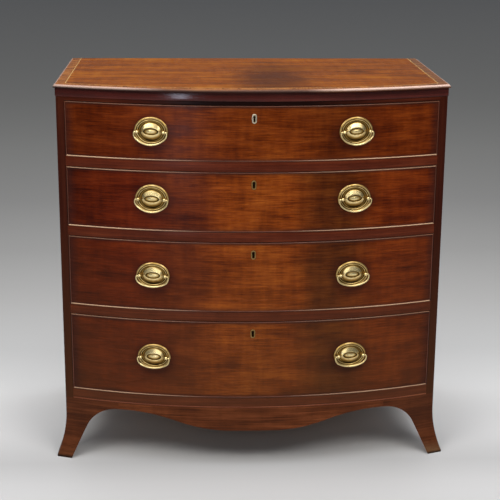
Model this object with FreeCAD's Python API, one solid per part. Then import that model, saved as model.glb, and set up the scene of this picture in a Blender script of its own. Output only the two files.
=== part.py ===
import FreeCAD, Part
import math
import os

# Bow front chest of four long drawers in mahogany, on splayed bracket feet. Millimetres.
# X runs to the right, Y to the back and Z up. The origin is on the floor under the middle
# of the chest, and the front faces -Y.

V = FreeCAD.Vector
UP = V(0, 0, 1)

# ---- Driving sizes of the carcase
carcase_width = 1028.0
side_depth = 512.0          # from the front corner of a side to its back edge
bow_rise = 94.0             # how far the middle of the front stands forward of its corners
side_thickness = 22.0
back_thickness = 9.0
back_rebate = 10.0          # width of the rebate in each side that takes the back boards
back_board_count = 3
back_board_gap = 0.5

# ---- Top
top_thickness = 9.0
top_side_overhang = 6.0
top_front_overhang = 8.0
top_back_overhang = 8.0
thumb_radius = 7.0          # rounding of the top's front and side edges
banding_inset = 31.0        # from the top's edge to the middle of the boxwood string
string_width = 2.0
inlay_depth = 1.0

# ---- Heights of the front, from the floor up
base_height = 171.5         # floor to the underside of the bottom rail
base_string_height = 3.0    # the light bead under the bottom rail
bottom_rail_height = 26.5
rail_height = 26.5
top_rail_height = 9.5
frieze_height = 22.5
drawer_heights = [145.0, 160.0, 191.0, 216.5]   # over the beads, from the top drawer down
gap_over_drawer = 1.5
gap_under_drawer = 0.5
gap_beside_drawer = 1.0
rail_end_depth = 45.0       # rail, measured back from the carcase's front corner
frieze_proud = 1.5
base_string_proud = 0.5
base_string_depth = 3.0

# ---- Boards inside the carcase
bottom_thickness = 18.0
dustboard_thickness = 8.0
runner_width = 30.0
kicker_width = 22.0
stop_spacing = 600.0
stop_length = 40.0
stop_width = 12.0
stop_height = 5.0
stop_gap = 0.4

# ---- Apron and splayed feet
bracket_thickness = 22.0
foot_reach = 148.0          # from the carcase's corner to where the foot's curve meets the arch
arch_drop = 20.0            # underside of the bottom rail to the top of the arches
apron_drop = 67.5           # the same, to the middle of the apron's lower edge
apron_flat = 60.0           # half the width of the apron's level middle
arch_flat = 16.0            # level stretch between the apron's wave and the foot's curve
foot_curve_radius = 98.0
foot_slope = math.radians(64.5)
splay = 26.5                # how far the toes stand out
splay_start = 41.5          # underside of the bottom rail to where the splay begins
toe_height = 4.0            # upright bottom of each toe
block_size = 34.0
block_length = 71.5         # of the feet's glue blocks, below the bottom rail
apron_block_length = 90.0
apron_block_size = 20.0
apron_block_places = [90.0, 260.0]

# ---- Drawers
front_thickness = 24.0
lining_thickness = 10.0
drawer_bottom_thickness = 7.0
drawer_bottom_lift = 9.0    # from the drawer's lower edge to the underside of its bottom
lining_drop = 8.0           # side linings below the top of the front
back_lining_drop = 14.0
gap_behind_drawer = 12.0
bead_thickness = 3.0
bead_depth = 9.0            # let into the edge of the front
bead_proud = 2.0
bead_round = 1.4
side_bead_round = 0.9

# ---- Locks
lock_half_width = 36.0
lock_height = 52.0
lock_plate_thickness = 1.5
lock_case_half_width = 28.0
lock_case_height = 46.0
lock_to_bead = 2.0          # wood between the lock's case and the beads
bolt_half_width = 9.0
bolt_thickness = 6.0
bolt_length = 24.0
bolt_drop = 0.5             # bolt's top below the top of the front when unlocked
bolt_throw = 8.0
bolt_gap = 0.4
mortise_gap = 1.0
keyhole_drop = 33.0         # top of the drawer front to the middle of the keyhole
keyhole_radius = 3.1
keyhole_slot = 4.2
keyhole_half_height = 7.5
key_depth_in_case = 6.0
escutcheon_width = 13.0
escutcheon_height = 25.0
escutcheon_inlet = 1.0
escutcheon_proud = 0.9

# ---- Handles: the two upper drawers have taller ones than the two lower drawers
handle_spacing = 530.0      # between the middles of a drawer's two handles
handle_lifts = [3.0, 6.0, 2.0, 5.0]     # above the middle of each drawer
handle_kinds = [0, 0, 1, 1]
plate_width = 90.0
plate_half_heights = [38.0, 35.0]
plate_sheet = 1.2
plate_rim_height = 3.0
plate_rim_width = 4.5
plate_rim_round = 2.0
boss_gap = 3.05             # between the boss and the posts' collars
boss_height = 48.0
boss_proud = 6.5
boss_step = 4.4             # height of the boss half way up its slope
boss_lip = 2.0              # from the dish to where the boss's slope begins
dish_width = 39.0
dish_height = 17.5
dish_floor = 4.3
seed_share = 0.5            # raised oval in the dish, as a share of the dish
seed_proud = 5.6
post_inset = 10.25          # from the plate's end to a post
post_stand = 13.0           # wood to the middle of the ball head
post_shaft_radius = 2.4
post_hole_gap = 0.1
post_collar_radius = 4.2
post_collar_height = 4.0
post_neck_radius = 3.0
post_head_radius = 4.7
post_tail = 4.0             # shaft standing out behind the nut
nut_size = 9.0
nut_thickness = 3.0
nut_gap = 0.05              # between the nut's corners and the hollow inside of the front
pin_radius = 1.7
pin_gap = 0.08
pin_reach = 3.2             # past the middle of the ball head
bail_radius = 2.6
bail_head_gap = 0.55        # between the rod and the ball heads
bail_shoulder = 3.4         # bend between the pin and the arm
bail_straight = 4.0         # pivot to the start of the corner
bail_corner_radius = 20.0
bail_drops = [33.4, 29.4]   # pivot to the rod's centre line at the bottom

# ---- Sizes that follow
carcase_half = carcase_width / 2
opening_half = carcase_half - side_thickness
drawer_half = opening_half - gap_beside_drawer
front_line = (bow_rise + top_front_overhang - side_depth - top_back_overhang) / 2
back_line = front_line + side_depth
rail_back = front_line + rail_end_depth
inside_back = back_line - back_thickness
bow_radius = (carcase_half**2 + bow_rise**2) / (2 * bow_rise)
bow_axis_y = front_line - bow_rise + bow_radius
arch_height = base_height - arch_drop
apron_height = base_height - apron_drop
splay_top = base_height - splay_start
splay_drop = splay_top - toe_height
block_foot = base_height - block_length
splay_radius = (splay_drop**2 + splay**2) / (2 * splay)
crown_x = carcase_half - foot_reach
post_spacing = plate_width - 2 * post_inset
post_places = [-post_spacing / 2, post_spacing / 2]
boss_width = post_spacing - 2 * (post_collar_radius + boss_gap)
inner_radius = bow_radius - front_thickness
nut_corner = (post_spacing + nut_size) / 2
nut_seat = bow_radius - math.sqrt(inner_radius**2 - nut_corner**2) + nut_gap
bend_start = post_spacing / 2 + post_head_radius + bail_head_gap
bail_half_width = bend_start + bail_shoulder

nodes = {}


# ---- Shapes shared by the pieces
def bow_y(x, proud=0.0):
    """Y at x of the arc that stands proud of the bowed front by the given amount."""
    return bow_axis_y - math.sqrt((bow_radius + proud) ** 2 - x**2)


def bow_arc(x0, x1, proud):
    """Arc concentric with the bowed front, from x0 to x1."""
    points = [V(x, bow_y(x, proud), 0) for x in (x0, (x0 + x1) / 2, x1)]
    return Part.Arc(*points).toShape()


def raise_plan(edges, z0, z1):
    """Upright solid between two heights over a closed plan."""
    face = Part.Face(Part.Wire(Part.__sortEdges__(edges)))
    face.translate(V(0, 0, z0))
    return face.extrude(V(0, 0, z1 - z0))


def bow_slab(x0, x1, proud, back, z0, z1):
    """Board with a bowed front edge and a straight back edge."""
    left = V(x0, bow_y(x0, proud), 0)
    right = V(x1, bow_y(x1, proud), 0)
    back_left = V(x0, back, 0)
    back_right = V(x1, back, 0)
    corners = [(right, back_right), (back_right, back_left), (back_left, left)]
    edges = [Part.LineSegment(a, b).toShape() for a, b in corners]
    return raise_plan([bow_arc(x0, x1, proud)] + edges, z0, z1)


def bow_shell(x0, x1, proud, depth, z0, z1):
    """Bowed board of even thickness, its ends cut square to the front of the chest."""
    ends = []
    for x in (x0, x1):
        front = V(x, bow_y(x, proud), 0)
        back = V(x, bow_y(x, proud - depth), 0)
        ends.append(Part.LineSegment(front, back).toShape())
    arcs = [bow_arc(x0, x1, proud), bow_arc(x0, x1, proud - depth)]
    return raise_plan(arcs + ends, z0, z1)


def block(x0, x1, y0, y1, z0, z1):
    """Rectangular block between two corners."""
    return Part.makeBox(x1 - x0, y1 - y0, z1 - z0, V(x0, y0, z0))


def mirrored(shape):
    """The same piece on the other side of the chest."""
    return shape.mirror(V(0, 0, 0), V(1, 0, 0))


def both(shape):
    """A piece and its mirror image."""
    return [shape, mirrored(shape)]


def group(solids):
    """Like pieces that share one node."""
    return Part.makeCompound(solids)


# ---- Levels of the rails and drawers, worked out from the floor up
drawer_count = len(drawer_heights)
bottom_rail_top = base_height + base_string_height + bottom_rail_height
rail_tops = [0.0] * drawer_count     # top of the rail that each drawer runs over
drawer_feet = [0.0] * drawer_count
drawer_tops = [0.0] * drawer_count
level = bottom_rail_top
for row in reversed(range(drawer_count)):
    rail_tops[row] = level
    drawer_feet[row] = level + gap_under_drawer
    drawer_tops[row] = drawer_feet[row] + drawer_heights[row]
    opening_top = drawer_tops[row] + gap_over_drawer
    level = opening_top + (rail_height if row else top_rail_height)
frieze_foot = level
frieze_top = frieze_foot + frieze_height
overall_height = frieze_top + top_thickness
top_rail_foot = frieze_foot - top_rail_height


# ---- Top: a thin board with a thumb moulded edge, banded and strung with boxwood
top_half = carcase_half + top_side_overhang
top_back = back_line + top_back_overhang
string_outer = banding_inset - string_width / 2
string_inner = banding_inset + string_width / 2


def top_layer(inset, z0, z1):
    """Plan of the top, set in from its front and side edges."""
    proud = top_front_overhang - inset
    return bow_slab(inset - top_half, top_half - inset, proud, top_back, z0, z1)


def inlay_ring(outer, inner):
    """Band let into the top between two insets: a front strip and two side strips."""
    foot = overall_height - inlay_depth
    ring = top_layer(outer, foot, overall_height).cut(top_layer(inner, foot, overall_height))
    reach = top_half - outer
    front_strip = bow_shell(
        -reach, reach, top_front_overhang - outer, inner - outer, foot, overall_height
    )
    side_strips = ring.cut(front_strip)
    return [front_strip] + side_strips.Solids


top_board = top_layer(0.0, frieze_top, overall_height)
moulded = [
    edge
    for edge in top_board.Edges
    if edge.BoundBox.ZMin > overall_height - 0.01
    and edge.BoundBox.YMin < top_back - 0.01
]
top_board = top_board.makeFillet(thumb_radius, moulded)
crossband = inlay_ring(thumb_radius, string_outer)
stringing = inlay_ring(string_outer, string_inner)
nodes["top_board"] = top_board.cut(crossband + stringing)
nodes["top_crossband"] = group(crossband)
nodes["top_stringing"] = group(stringing)


# ---- Carcase sides, back boards and frieze
side = bow_slab(opening_half, carcase_half, 0.0, back_line, base_height, frieze_foot)
rebate = block(
    opening_half, opening_half + back_rebate, inside_back, back_line, base_height, frieze_top
)
side = side.cut(rebate)
nodes["side_right"] = side
nodes["side_left"] = mirrored(side)

back_half = opening_half + back_rebate
board_pitch = (2 * back_half + back_board_gap) / back_board_count
back_boards = []
for place in range(back_board_count):
    x0 = -back_half + place * board_pitch
    x1 = x0 + board_pitch - back_board_gap
    back_boards.append(block(x0, x1, inside_back, back_line, base_height, frieze_top))
nodes["back_boards"] = group(back_boards)

frieze_half = carcase_half + frieze_proud
frieze_front = bow_slab(
    -frieze_half, frieze_half, frieze_proud, rail_back, frieze_foot, frieze_top
)
frieze_side = block(
    opening_half, frieze_half, rail_back, back_line, frieze_foot, frieze_top
).cut(rebate)
nodes["frieze"] = group([frieze_front] + both(frieze_side))


# ---- Rails between the drawers, with a mortise over each lock's bolt
lock_back = bow_y(lock_half_width, -front_thickness)
lock_case_depth = front_thickness - bead_depth - lock_to_bead
lock_front = lock_back - lock_case_depth
bolt_wall = (lock_case_depth - lock_plate_thickness - bolt_thickness) / 2
bolt_back = lock_back - lock_plate_thickness - bolt_wall
bolt_front = bolt_back - bolt_thickness
mortise_depth = bolt_throw - gap_over_drawer - bolt_drop + mortise_gap


def rail(z0, z1):
    """Rail across the opening, flush with the bowed front, mortised from below."""
    board = bow_slab(-opening_half, opening_half, 0.0, rail_back, z0, z1)
    mortise = block(
        -bolt_half_width - mortise_gap,
        bolt_half_width + mortise_gap,
        bolt_front - mortise_gap,
        bolt_back + mortise_gap,
        z0,
        z0 + mortise_depth,
    )
    return board.cut(mortise)


rails = [rail(top_rail_foot, frieze_foot)]
for row in range(drawer_count - 1):
    rails.append(rail(rail_tops[row] - rail_height, rail_tops[row]))
base_string = bow_shell(
    -opening_half,
    opening_half,
    base_string_proud,
    base_string_proud + base_string_depth,
    base_height,
    base_height + base_string_height,
)
bottom_rail = bow_slab(
    -opening_half, opening_half, 0.0, rail_back, base_height, bottom_rail_top
)
rails.append(bottom_rail.cut(base_string))
nodes["front_rails"] = group(rails + [base_string])


# ---- Dustboards, carcase bottom, runners, kickers and drawer stops
runners = []
dustboards = []
for row in range(drawer_count - 1):
    rail_top = rail_tops[row]
    middle = rail_top - rail_height / 2
    runner_inner = opening_half - runner_width
    runner = block(
        runner_inner, opening_half, rail_back, inside_back, rail_top - rail_height, rail_top
    )
    runners += both(runner)
    dustboards.append(
        block(
            -runner_inner,
            runner_inner,
            rail_back,
            inside_back,
            middle - dustboard_thickness / 2,
            middle + dustboard_thickness / 2,
        )
    )
kicker = block(
    opening_half - kicker_width,
    opening_half,
    rail_back,
    inside_back,
    top_rail_foot,
    frieze_top,
)
nodes["runners"] = group(runners + both(kicker))
carcase_bottom = block(
    -opening_half,
    opening_half,
    rail_back,
    inside_back,
    bottom_rail_top - bottom_thickness,
    bottom_rail_top,
)
nodes["bottom_and_dustboards"] = group([carcase_bottom] + dustboards)

stops = []
stop_middle = stop_spacing / 2
for rail_top in rail_tops:
    stop = bow_shell(
        stop_middle - stop_length / 2,
        stop_middle + stop_length / 2,
        -front_thickness - stop_gap,
        stop_width,
        rail_top,
        rail_top + stop_height,
    )
    stops += both(stop)
nodes["drawer_stops"] = group(stops)


# ---- Apron and splayed bracket feet
def line(x0, z0, x1, z1):
    """Straight edge in the XZ plane."""
    return Part.LineSegment(V(x0, 0, z0), V(x1, 0, z1)).toShape()


def upright_face(edges):
    """Face in the XZ plane bounded by the edges, given in any order."""
    return Part.Face(Part.Wire(Part.__sortEdges__(edges)))


def through_y(face, y0, y1):
    """Solid made by carrying an XZ face from y0 to y1."""
    moved = face.copy()
    moved.translate(V(0, y0, 0))
    return moved.extrude(V(0, y1 - y0, 0))


def splay_at(z):
    """How far the base stands out at height z: an arc that leaves the upright at splay_top."""
    drop = min(max(splay_top - z, 0.0), splay_drop)
    return splay_radius - math.sqrt(splay_radius**2 - drop**2)


def splay_edges(start):
    """Edges of a splayed face from the base's top to the floor, standing at x = start."""
    middle = (splay_top + toe_height) / 2
    curve = Part.Arc(
        V(start, 0, splay_top),
        V(start + splay_at(middle), 0, middle),
        V(start + splay, 0, toe_height),
    )
    upright = line(start, base_height, start, splay_top)
    toe = line(start + splay, toe_height, start + splay, 0)
    return [upright, curve.toShape(), toe]


def splay_section(outer):
    """Section of a splayed board of the base whose outer face starts at x = outer."""
    inner = outer - bracket_thickness
    top_edge = line(inner, base_height, outer, base_height)
    floor_edge = line(inner + splay, 0, outer + splay, 0)
    return upright_face(splay_edges(outer) + splay_edges(inner) + [top_edge, floor_edge])


def foot_face(outer):
    """Outline of a bracket foot: splayed outer edge, inner edge curving up to the arch."""
    centre_z = arch_height - foot_curve_radius
    turn = [
        V(
            crown_x + foot_curve_radius * math.sin(angle),
            0,
            centre_z + foot_curve_radius * math.cos(angle),
        )
        for angle in (0.0, foot_slope / 2, foot_slope)
    ]
    toe_inner = turn[2].x + turn[2].z / math.tan(foot_slope)
    edges = splay_edges(outer)
    edges.append(line(outer + splay, 0, toe_inner, 0))
    edges.append(line(toe_inner, 0, turn[2].x, turn[2].z))
    edges.append(Part.Arc(turn[2], turn[1], turn[0]).toShape())
    edges.append(line(crown_x, arch_height, crown_x, base_height))
    edges.append(line(crown_x, base_height, outer, base_height))
    return upright_face(edges)


# The front of the base is one bowed skin swung about the bow's axis; its sides are a straight
# skin. Both have the same splayed section.
reach_out = carcase_half + splay
base_front = front_line - bow_rise - 2 * splay
swing = 2 * math.degrees(math.asin((reach_out + splay) / bow_radius))
section = splay_section(bow_radius)
section.rotate(V(0, 0, 0), UP, -90 - swing / 2)
section.translate(V(0, bow_axis_y, 0))
front_skin = section.revolve(V(0, bow_axis_y, 0), UP, swing)
side_skin = through_y(splay_section(carcase_half), base_front, back_line).cut(front_skin)
side_skin = max(side_skin.Solids, key=lambda solid: solid.BoundBox.YMax)


def side_outline(face, shift, backward):
    """Foot outline turned to face sideways and carried through the side skin."""
    turned = face.copy()
    turned.rotate(V(0, 0, 0), UP, 90 if backward else -90)
    turned.translate(V(0, shift, 0))
    return turned.extrude(V(reach_out, 0, 0))


foot = foot_face(carcase_half)
front_bracket = through_y(foot, base_front, rail_back).common(front_skin)
front_side = side_outline(foot, front_line + carcase_half, False).common(side_skin)
back_side = side_outline(foot, back_line - carcase_half, True).common(side_skin)
back_bracket = through_y(
    foot_face(carcase_half - bracket_thickness), back_line - bracket_thickness, back_line
)
side_apron = block(
    0,
    carcase_half,
    front_line + foot_reach,
    back_line - foot_reach,
    arch_height,
    base_height,
).common(side_skin)
nodes["front_feet"] = group(both(front_bracket) + both(front_side))
nodes["back_feet"] = group(both(back_side) + both(back_bracket))
nodes["side_aprons"] = group(both(side_apron))

# The apron's lower edge: a level lobe in the middle and a wave of two equal arcs on each side.
wave_x = crown_x - arch_flat - apron_flat
wave_z = arch_height - apron_height
wave_radius = (wave_x**2 + wave_z**2) / (4 * wave_z)
half_turn = math.asin(wave_x / 2 / wave_radius) / 2
bend_x = wave_radius * math.sin(half_turn)
bend_z = wave_radius * (1 - math.cos(half_turn))
lobe_end = V(apron_flat, 0, apron_height)
wave_middle = V(apron_flat + wave_x / 2, 0, apron_height + wave_z / 2)
wave_end = V(apron_flat + wave_x, 0, arch_height)
low_arc = Part.Arc(lobe_end, lobe_end + V(bend_x, 0, bend_z), wave_middle)
high_arc = Part.Arc(wave_middle, wave_end - V(bend_x, 0, bend_z), wave_end)
right_edges = [
    low_arc.toShape(),
    high_arc.toShape(),
    line(wave_end.x, arch_height, crown_x, arch_height),
    line(crown_x, arch_height, crown_x, base_height),
]
apron_face = upright_face(
    right_edges
    + [mirrored(edge) for edge in right_edges]
    + [
        line(-apron_flat, apron_height, apron_flat, apron_height),
        line(-crown_x, base_height, crown_x, base_height),
    ]
)
nodes["apron"] = through_y(apron_face, base_front, rail_back).common(front_skin)

# Glue blocks in the corners of the feet and along the back of the apron.
block_inner = carcase_half - bracket_thickness - block_size
corner_y = bow_y(block_inner, -bracket_thickness)
front_block = block(
    block_inner, carcase_half, corner_y, corner_y + block_size, block_foot, base_height
)
front_block = front_block.cut(side_skin).cut(front_skin)
front_block = min(front_block.Solids, key=lambda solid: solid.BoundBox.XMin)
back_block = block(
    block_inner,
    carcase_half,
    back_line - bracket_thickness - block_size,
    back_line - bracket_thickness,
    block_foot,
    bottom_rail_top - bottom_thickness,
)
back_block = back_block.cut(side_skin).cut(side)
back_block = min(back_block.Solids, key=lambda solid: solid.BoundBox.XMin)
glue_blocks = both(front_block) + both(back_block)
for x in apron_block_places:
    x0 = x - apron_block_length / 2
    x1 = x + apron_block_length / 2
    glue_blocks += both(
        bow_slab(
            x0,
            x1,
            -bracket_thickness,
            bow_y(x1, -bracket_thickness) + apron_block_size,
            base_height - apron_block_size,
            base_height,
        )
    )
nodes["glue_blocks"] = group(glue_blocks)


# ---- Brass handles, made about the middle of a plate: x along it, -y out of the drawer
def oval_wire(half_x, half_z, y):
    """Upright ellipse at y."""
    wire = Part.Wire(Part.Ellipse(V(0, 0, 0), half_x, half_z).toShape())
    wire.rotate(V(0, 0, 0), V(1, 0, 0), 90)
    wire.translate(V(0, y, 0))
    return wire


def oval_block(half_x, half_z, y0, y1):
    """Oval block from y0 to y1."""
    return Part.Face(oval_wire(half_x, half_z, y0)).extrude(V(0, y1 - y0, 0))


def rod_y(radius, x, y0, y1):
    """Round bar along y through (x, 0)."""
    return Part.makeCylinder(radius, y1 - y0, V(x, y0, 0), V(0, 1, 0))


def make_plate(half_z):
    """Stamped oval plate: rounded rim, domed boss with a sunk dish, holes for the posts."""
    half_x = plate_width / 2
    rim_inner_x = half_x - plate_rim_width
    rim_inner_z = half_z - plate_rim_width
    plate = oval_block(half_x, half_z, -plate_rim_height, 0)
    face_edges = [edge for edge in plate.Edges if edge.BoundBox.YMax < -plate_rim_height / 2]
    plate = plate.makeFillet(plate_rim_round, face_edges)
    plate = plate.cut(oval_block(rim_inner_x, rim_inner_z, -plate_rim_height, -plate_sheet))
    boss_x = boss_width / 2
    boss_z = boss_height / 2
    dish_x = dish_width / 2
    dish_z = dish_height / 2
    lip_x = dish_x + boss_lip
    lip_z = dish_z + boss_lip
    boss = Part.makeLoft(
        [
            oval_wire(boss_x, boss_z, -plate_sheet / 2),
            oval_wire(boss_x, boss_z, -plate_sheet),
            oval_wire((boss_x + lip_x) / 2, (boss_z + lip_z) / 2, -boss_step),
            oval_wire(lip_x, lip_z, -boss_proud),
        ],
        True,
        True,
    )
    plate = plate.fuse(boss)
    plate = plate.cut(oval_block(dish_x, dish_z, -boss_proud, -dish_floor))
    plate = plate.fuse(
        oval_block(dish_x * seed_share, dish_z * seed_share, -seed_proud, -plate_sheet)
    )
    for x in post_places:
        plate = plate.cut(rod_y(post_shaft_radius + post_hole_gap, x, -plate_rim_height, 0))
    return plate.removeSplitter()


def make_post(x):
    """Turned post with a ball head, bored along x for the bail's pin."""
    tail = nut_seat + nut_thickness + post_tail
    post = rod_y(post_shaft_radius, x, -post_stand, tail)
    post = post.fuse(rod_y(post_collar_radius, x, -plate_sheet - post_collar_height, -plate_sheet))
    post = post.fuse(rod_y(post_neck_radius, x, -post_stand, -plate_sheet))
    post = post.fuse(Part.makeSphere(post_head_radius, V(x, -post_stand, 0)))
    bore = Part.makeCylinder(
        pin_radius + pin_gap,
        4 * post_head_radius,
        V(x - 2 * post_head_radius, -post_stand, 0),
        V(1, 0, 0),
    )
    return post.cut(bore).removeSplitter()


def make_nut(x):
    """Square nut behind the drawer front."""
    nut_back = nut_seat + nut_thickness
    nut = block(
        x - nut_size / 2, x + nut_size / 2, nut_seat, nut_back, -nut_size / 2, nut_size / 2
    )
    return nut.cut(rod_y(post_shaft_radius, x, nut_seat, nut_back))


def make_bail(drop):
    """Hanging bail: a rod bent down from two pins, round the corners to a shallow bottom."""
    corner_x = bail_half_width - bail_corner_radius
    low = drop - bail_straight
    bottom_radius = (corner_x**2 + low**2 - bail_corner_radius**2) / (
        2 * (low - bail_corner_radius)
    )
    bottom_z = bottom_radius - drop
    lean = math.atan2(corner_x, bottom_z + bail_straight)
    side_z = -bail_straight

    def on_corner(angle):
        """Point of the corner arc at an angle down from the level."""
        return V(
            corner_x + bail_corner_radius * math.cos(angle),
            0,
            side_z - bail_corner_radius * math.sin(angle),
        )

    shoulder = Part.Arc(
        V(bend_start, 0, 0),
        V(
            bend_start + bail_shoulder * math.sin(math.pi / 4),
            0,
            -bail_shoulder + bail_shoulder * math.cos(math.pi / 4),
        ),
        V(bail_half_width, 0, -bail_shoulder),
    ).toShape()
    arm = line(bail_half_width, -bail_shoulder, bail_half_width, side_z)
    corner_turn = math.pi / 2 - lean
    corner = Part.Arc(on_corner(0.0), on_corner(corner_turn / 2), on_corner(corner_turn)).toShape()
    join = on_corner(corner_turn)
    bottom = Part.Arc(V(-join.x, 0, join.z), V(0, 0, -drop), join).toShape()
    edges = [shoulder, arm, corner]
    edges += [mirrored(edge) for edge in edges]
    edges.append(bottom)
    path = Part.Wire(Part.__sortEdges__(edges))
    start = Part.Circle(V(bend_start, 0, 0), V(1, 0, 0), bail_radius).toShape()
    rod = path.makePipeShell([Part.Wire(start)], True, False)
    pin = Part.makeCylinder(
        pin_radius,
        bend_start - post_spacing / 2 + pin_reach,
        V(post_spacing / 2 - pin_reach, 0, 0),
        V(1, 0, 0),
    )
    bail = rod.fuse(both(pin)).removeSplitter()
    bail.translate(V(0, -post_stand, 0))
    return bail


def placed(shape, x, z):
    """A handle's piece set on the bowed front at x and z, square to the bow."""
    moved = shape.copy()
    moved.rotate(V(0, 0, 0), UP, math.degrees(math.asin(x / bow_radius)))
    moved.translate(V(x, bow_y(x), z))
    return moved


# ---- Drawers
handle_places = [-handle_spacing / 2, handle_spacing / 2]
lining_inner = drawer_half - lining_thickness
drawer_back = inside_back - gap_behind_drawer


def slot_block(width, height, y0, y1, top):
    """Upright block with rounded ends between y0 and y1, hung from its top."""
    radius = width / 2
    z0 = top - height + radius
    z1 = top - radius
    solid = block(-radius, radius, y0, y1, z0, z1)
    for z in (z0, z1):
        solid = solid.fuse(Part.makeCylinder(radius, y1 - y0, V(0, y0, z), V(0, 1, 0)))
    return solid.removeSplitter()


def make_keyhole(z):
    """Room for the key, from in front of the drawer into its lock: a round hole and a slot."""
    y0 = bow_y(0, bead_proud)
    y1 = lock_front + key_depth_in_case
    foot = z - keyhole_half_height
    top = z + keyhole_half_height - keyhole_radius
    slot = block(-keyhole_slot / 2, keyhole_slot / 2, y0, y1, foot, top)
    return slot.fuse(Part.makeCylinder(keyhole_radius, y1 - y0, V(0, y0, top), V(0, 1, 0)))


for row in range(drawer_count):
    name = "drawer" + str(row + 1)
    foot_z = drawer_feet[row]
    top_z = drawer_tops[row]
    handle_z = (foot_z + top_z) / 2 + handle_lifts[row]
    kind = handle_kinds[row]

    # Cockbeads round the four edges of the front.
    beads = []
    for z0 in (foot_z, top_z - bead_thickness):
        bead = bow_shell(
            -drawer_half, drawer_half, bead_proud, bead_proud + bead_depth, z0, z0 + bead_thickness
        )
        nose = [
            edge
            for edge in bead.Edges
            if edge.BoundBox.YMin < bow_y(0, bead_proud) + 0.01 and edge.BoundBox.XLength > drawer_half
        ]
        beads.append(bead.makeFillet(bead_round, nose))
    side_bead = bow_shell(
        drawer_half - bead_thickness,
        drawer_half,
        bead_proud,
        bead_proud + bead_depth,
        foot_z + bead_thickness,
        top_z - bead_thickness,
    )
    nose = [
        edge
        for edge in side_bead.Edges
        if edge.BoundBox.ZLength > bead_depth and edge.BoundBox.YMax < bow_y(drawer_half, 0)
    ]
    beads += both(side_bead.makeFillet(side_bead_round, nose))
    nodes[name + "_cockbead"] = group(beads)

    # Lock let into the back of the front, and its bolt, which rises into the rail above.
    lock_plate = block(
        -lock_half_width,
        lock_half_width,
        lock_back - lock_plate_thickness,
        lock_back,
        top_z - lock_height,
        top_z,
    )
    lock_case = block(
        -lock_case_half_width,
        lock_case_half_width,
        lock_front,
        lock_back,
        top_z - lock_case_height,
        top_z,
    )
    lock = lock_plate.fuse(lock_case).removeSplitter()
    bolt_top = top_z - bolt_drop
    bolt = block(
        -bolt_half_width, bolt_half_width, bolt_front, bolt_back, bolt_top - bolt_length, bolt_top
    )
    bolt_room = block(
        -bolt_half_width - bolt_gap,
        bolt_half_width + bolt_gap,
        bolt_front - bolt_gap,
        bolt_back + bolt_gap,
        bolt_top - bolt_length - bolt_gap,
        top_z,
    )
    keyhole_z = top_z - keyhole_drop
    keyhole = make_keyhole(keyhole_z)
    escutcheon = slot_block(
        escutcheon_width,
        escutcheon_height,
        bow_y(0, escutcheon_proud),
        bow_y(0, -escutcheon_inlet),
        keyhole_z + escutcheon_height / 2,
    )
    nodes[name + "_lock"] = lock.cut(bolt_room).cut(keyhole)
    nodes[name + "_bolt"] = bolt
    nodes[name + "_escutcheon"] = escutcheon.cut(keyhole)

    # Front, linings and bottom.
    post_holes = []
    for x in handle_places:
        for post_x in post_places:
            hole = rod_y(post_shaft_radius + post_hole_gap, post_x, -post_stand, nut_seat)
            post_holes.append(placed(hole, x, handle_z))
    front = bow_shell(-drawer_half, drawer_half, 0.0, front_thickness, foot_z, top_z)
    nodes[name + "_front"] = front.cut(beads + [lock, keyhole, escutcheon] + post_holes)
    side_lining = bow_slab(
        lining_inner,
        drawer_half,
        -front_thickness,
        drawer_back,
        foot_z,
        top_z - lining_drop,
    )
    bottom_z = foot_z + drawer_bottom_lift
    floor_z = bottom_z + drawer_bottom_thickness
    back_lining = block(
        -lining_inner,
        lining_inner,
        drawer_back - lining_thickness,
        drawer_back,
        floor_z,
        top_z - back_lining_drop,
    )
    nodes[name + "_linings"] = group(both(side_lining) + [back_lining])
    nodes[name + "_bottom"] = bow_slab(
        -lining_inner, lining_inner, -front_thickness, drawer_back, bottom_z, floor_z
    )

    # Handles.
    plate = make_plate(plate_half_heights[kind])
    bail = make_bail(bail_drops[kind])
    post_pieces = [make_post(x) for x in post_places] + [make_nut(x) for x in post_places]
    plates = [placed(plate, x, handle_z) for x in handle_places]
    posts = [placed(piece, x, handle_z) for x in handle_places for piece in post_pieces]
    nodes[name + "_plates"] = group(plates)
    nodes[name + "_posts"] = group(posts)
    for hand, x in zip(("left", "right"), handle_places):
        nodes[name + "_bail_" + hand] = placed(bail, x, handle_z)


# ---- Write one STEP file for each node
os.makedirs("parts", exist_ok=True)
for node, shape in nodes.items():
    shape.exportStep("parts/" + node + ".step")
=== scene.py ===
# Bow front chest of four long drawers: mahogany on splayed bracket feet, with oval brass handles.
import math

import bmesh
import bpy
import numpy as np
from mathutils import Matrix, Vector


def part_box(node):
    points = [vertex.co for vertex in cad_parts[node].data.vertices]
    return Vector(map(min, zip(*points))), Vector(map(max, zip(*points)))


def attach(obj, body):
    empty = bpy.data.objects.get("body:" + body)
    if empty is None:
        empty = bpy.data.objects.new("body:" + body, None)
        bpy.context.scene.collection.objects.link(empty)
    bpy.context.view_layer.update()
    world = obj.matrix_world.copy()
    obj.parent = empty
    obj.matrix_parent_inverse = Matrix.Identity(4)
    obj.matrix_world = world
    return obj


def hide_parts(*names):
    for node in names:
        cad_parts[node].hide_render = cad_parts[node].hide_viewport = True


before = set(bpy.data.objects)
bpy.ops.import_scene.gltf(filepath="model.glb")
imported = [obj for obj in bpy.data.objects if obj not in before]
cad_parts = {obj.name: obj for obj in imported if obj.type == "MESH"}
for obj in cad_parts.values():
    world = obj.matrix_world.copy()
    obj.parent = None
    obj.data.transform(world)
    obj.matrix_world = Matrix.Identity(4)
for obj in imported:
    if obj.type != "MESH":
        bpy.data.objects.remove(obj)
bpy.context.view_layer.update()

MM = 0.001


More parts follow.
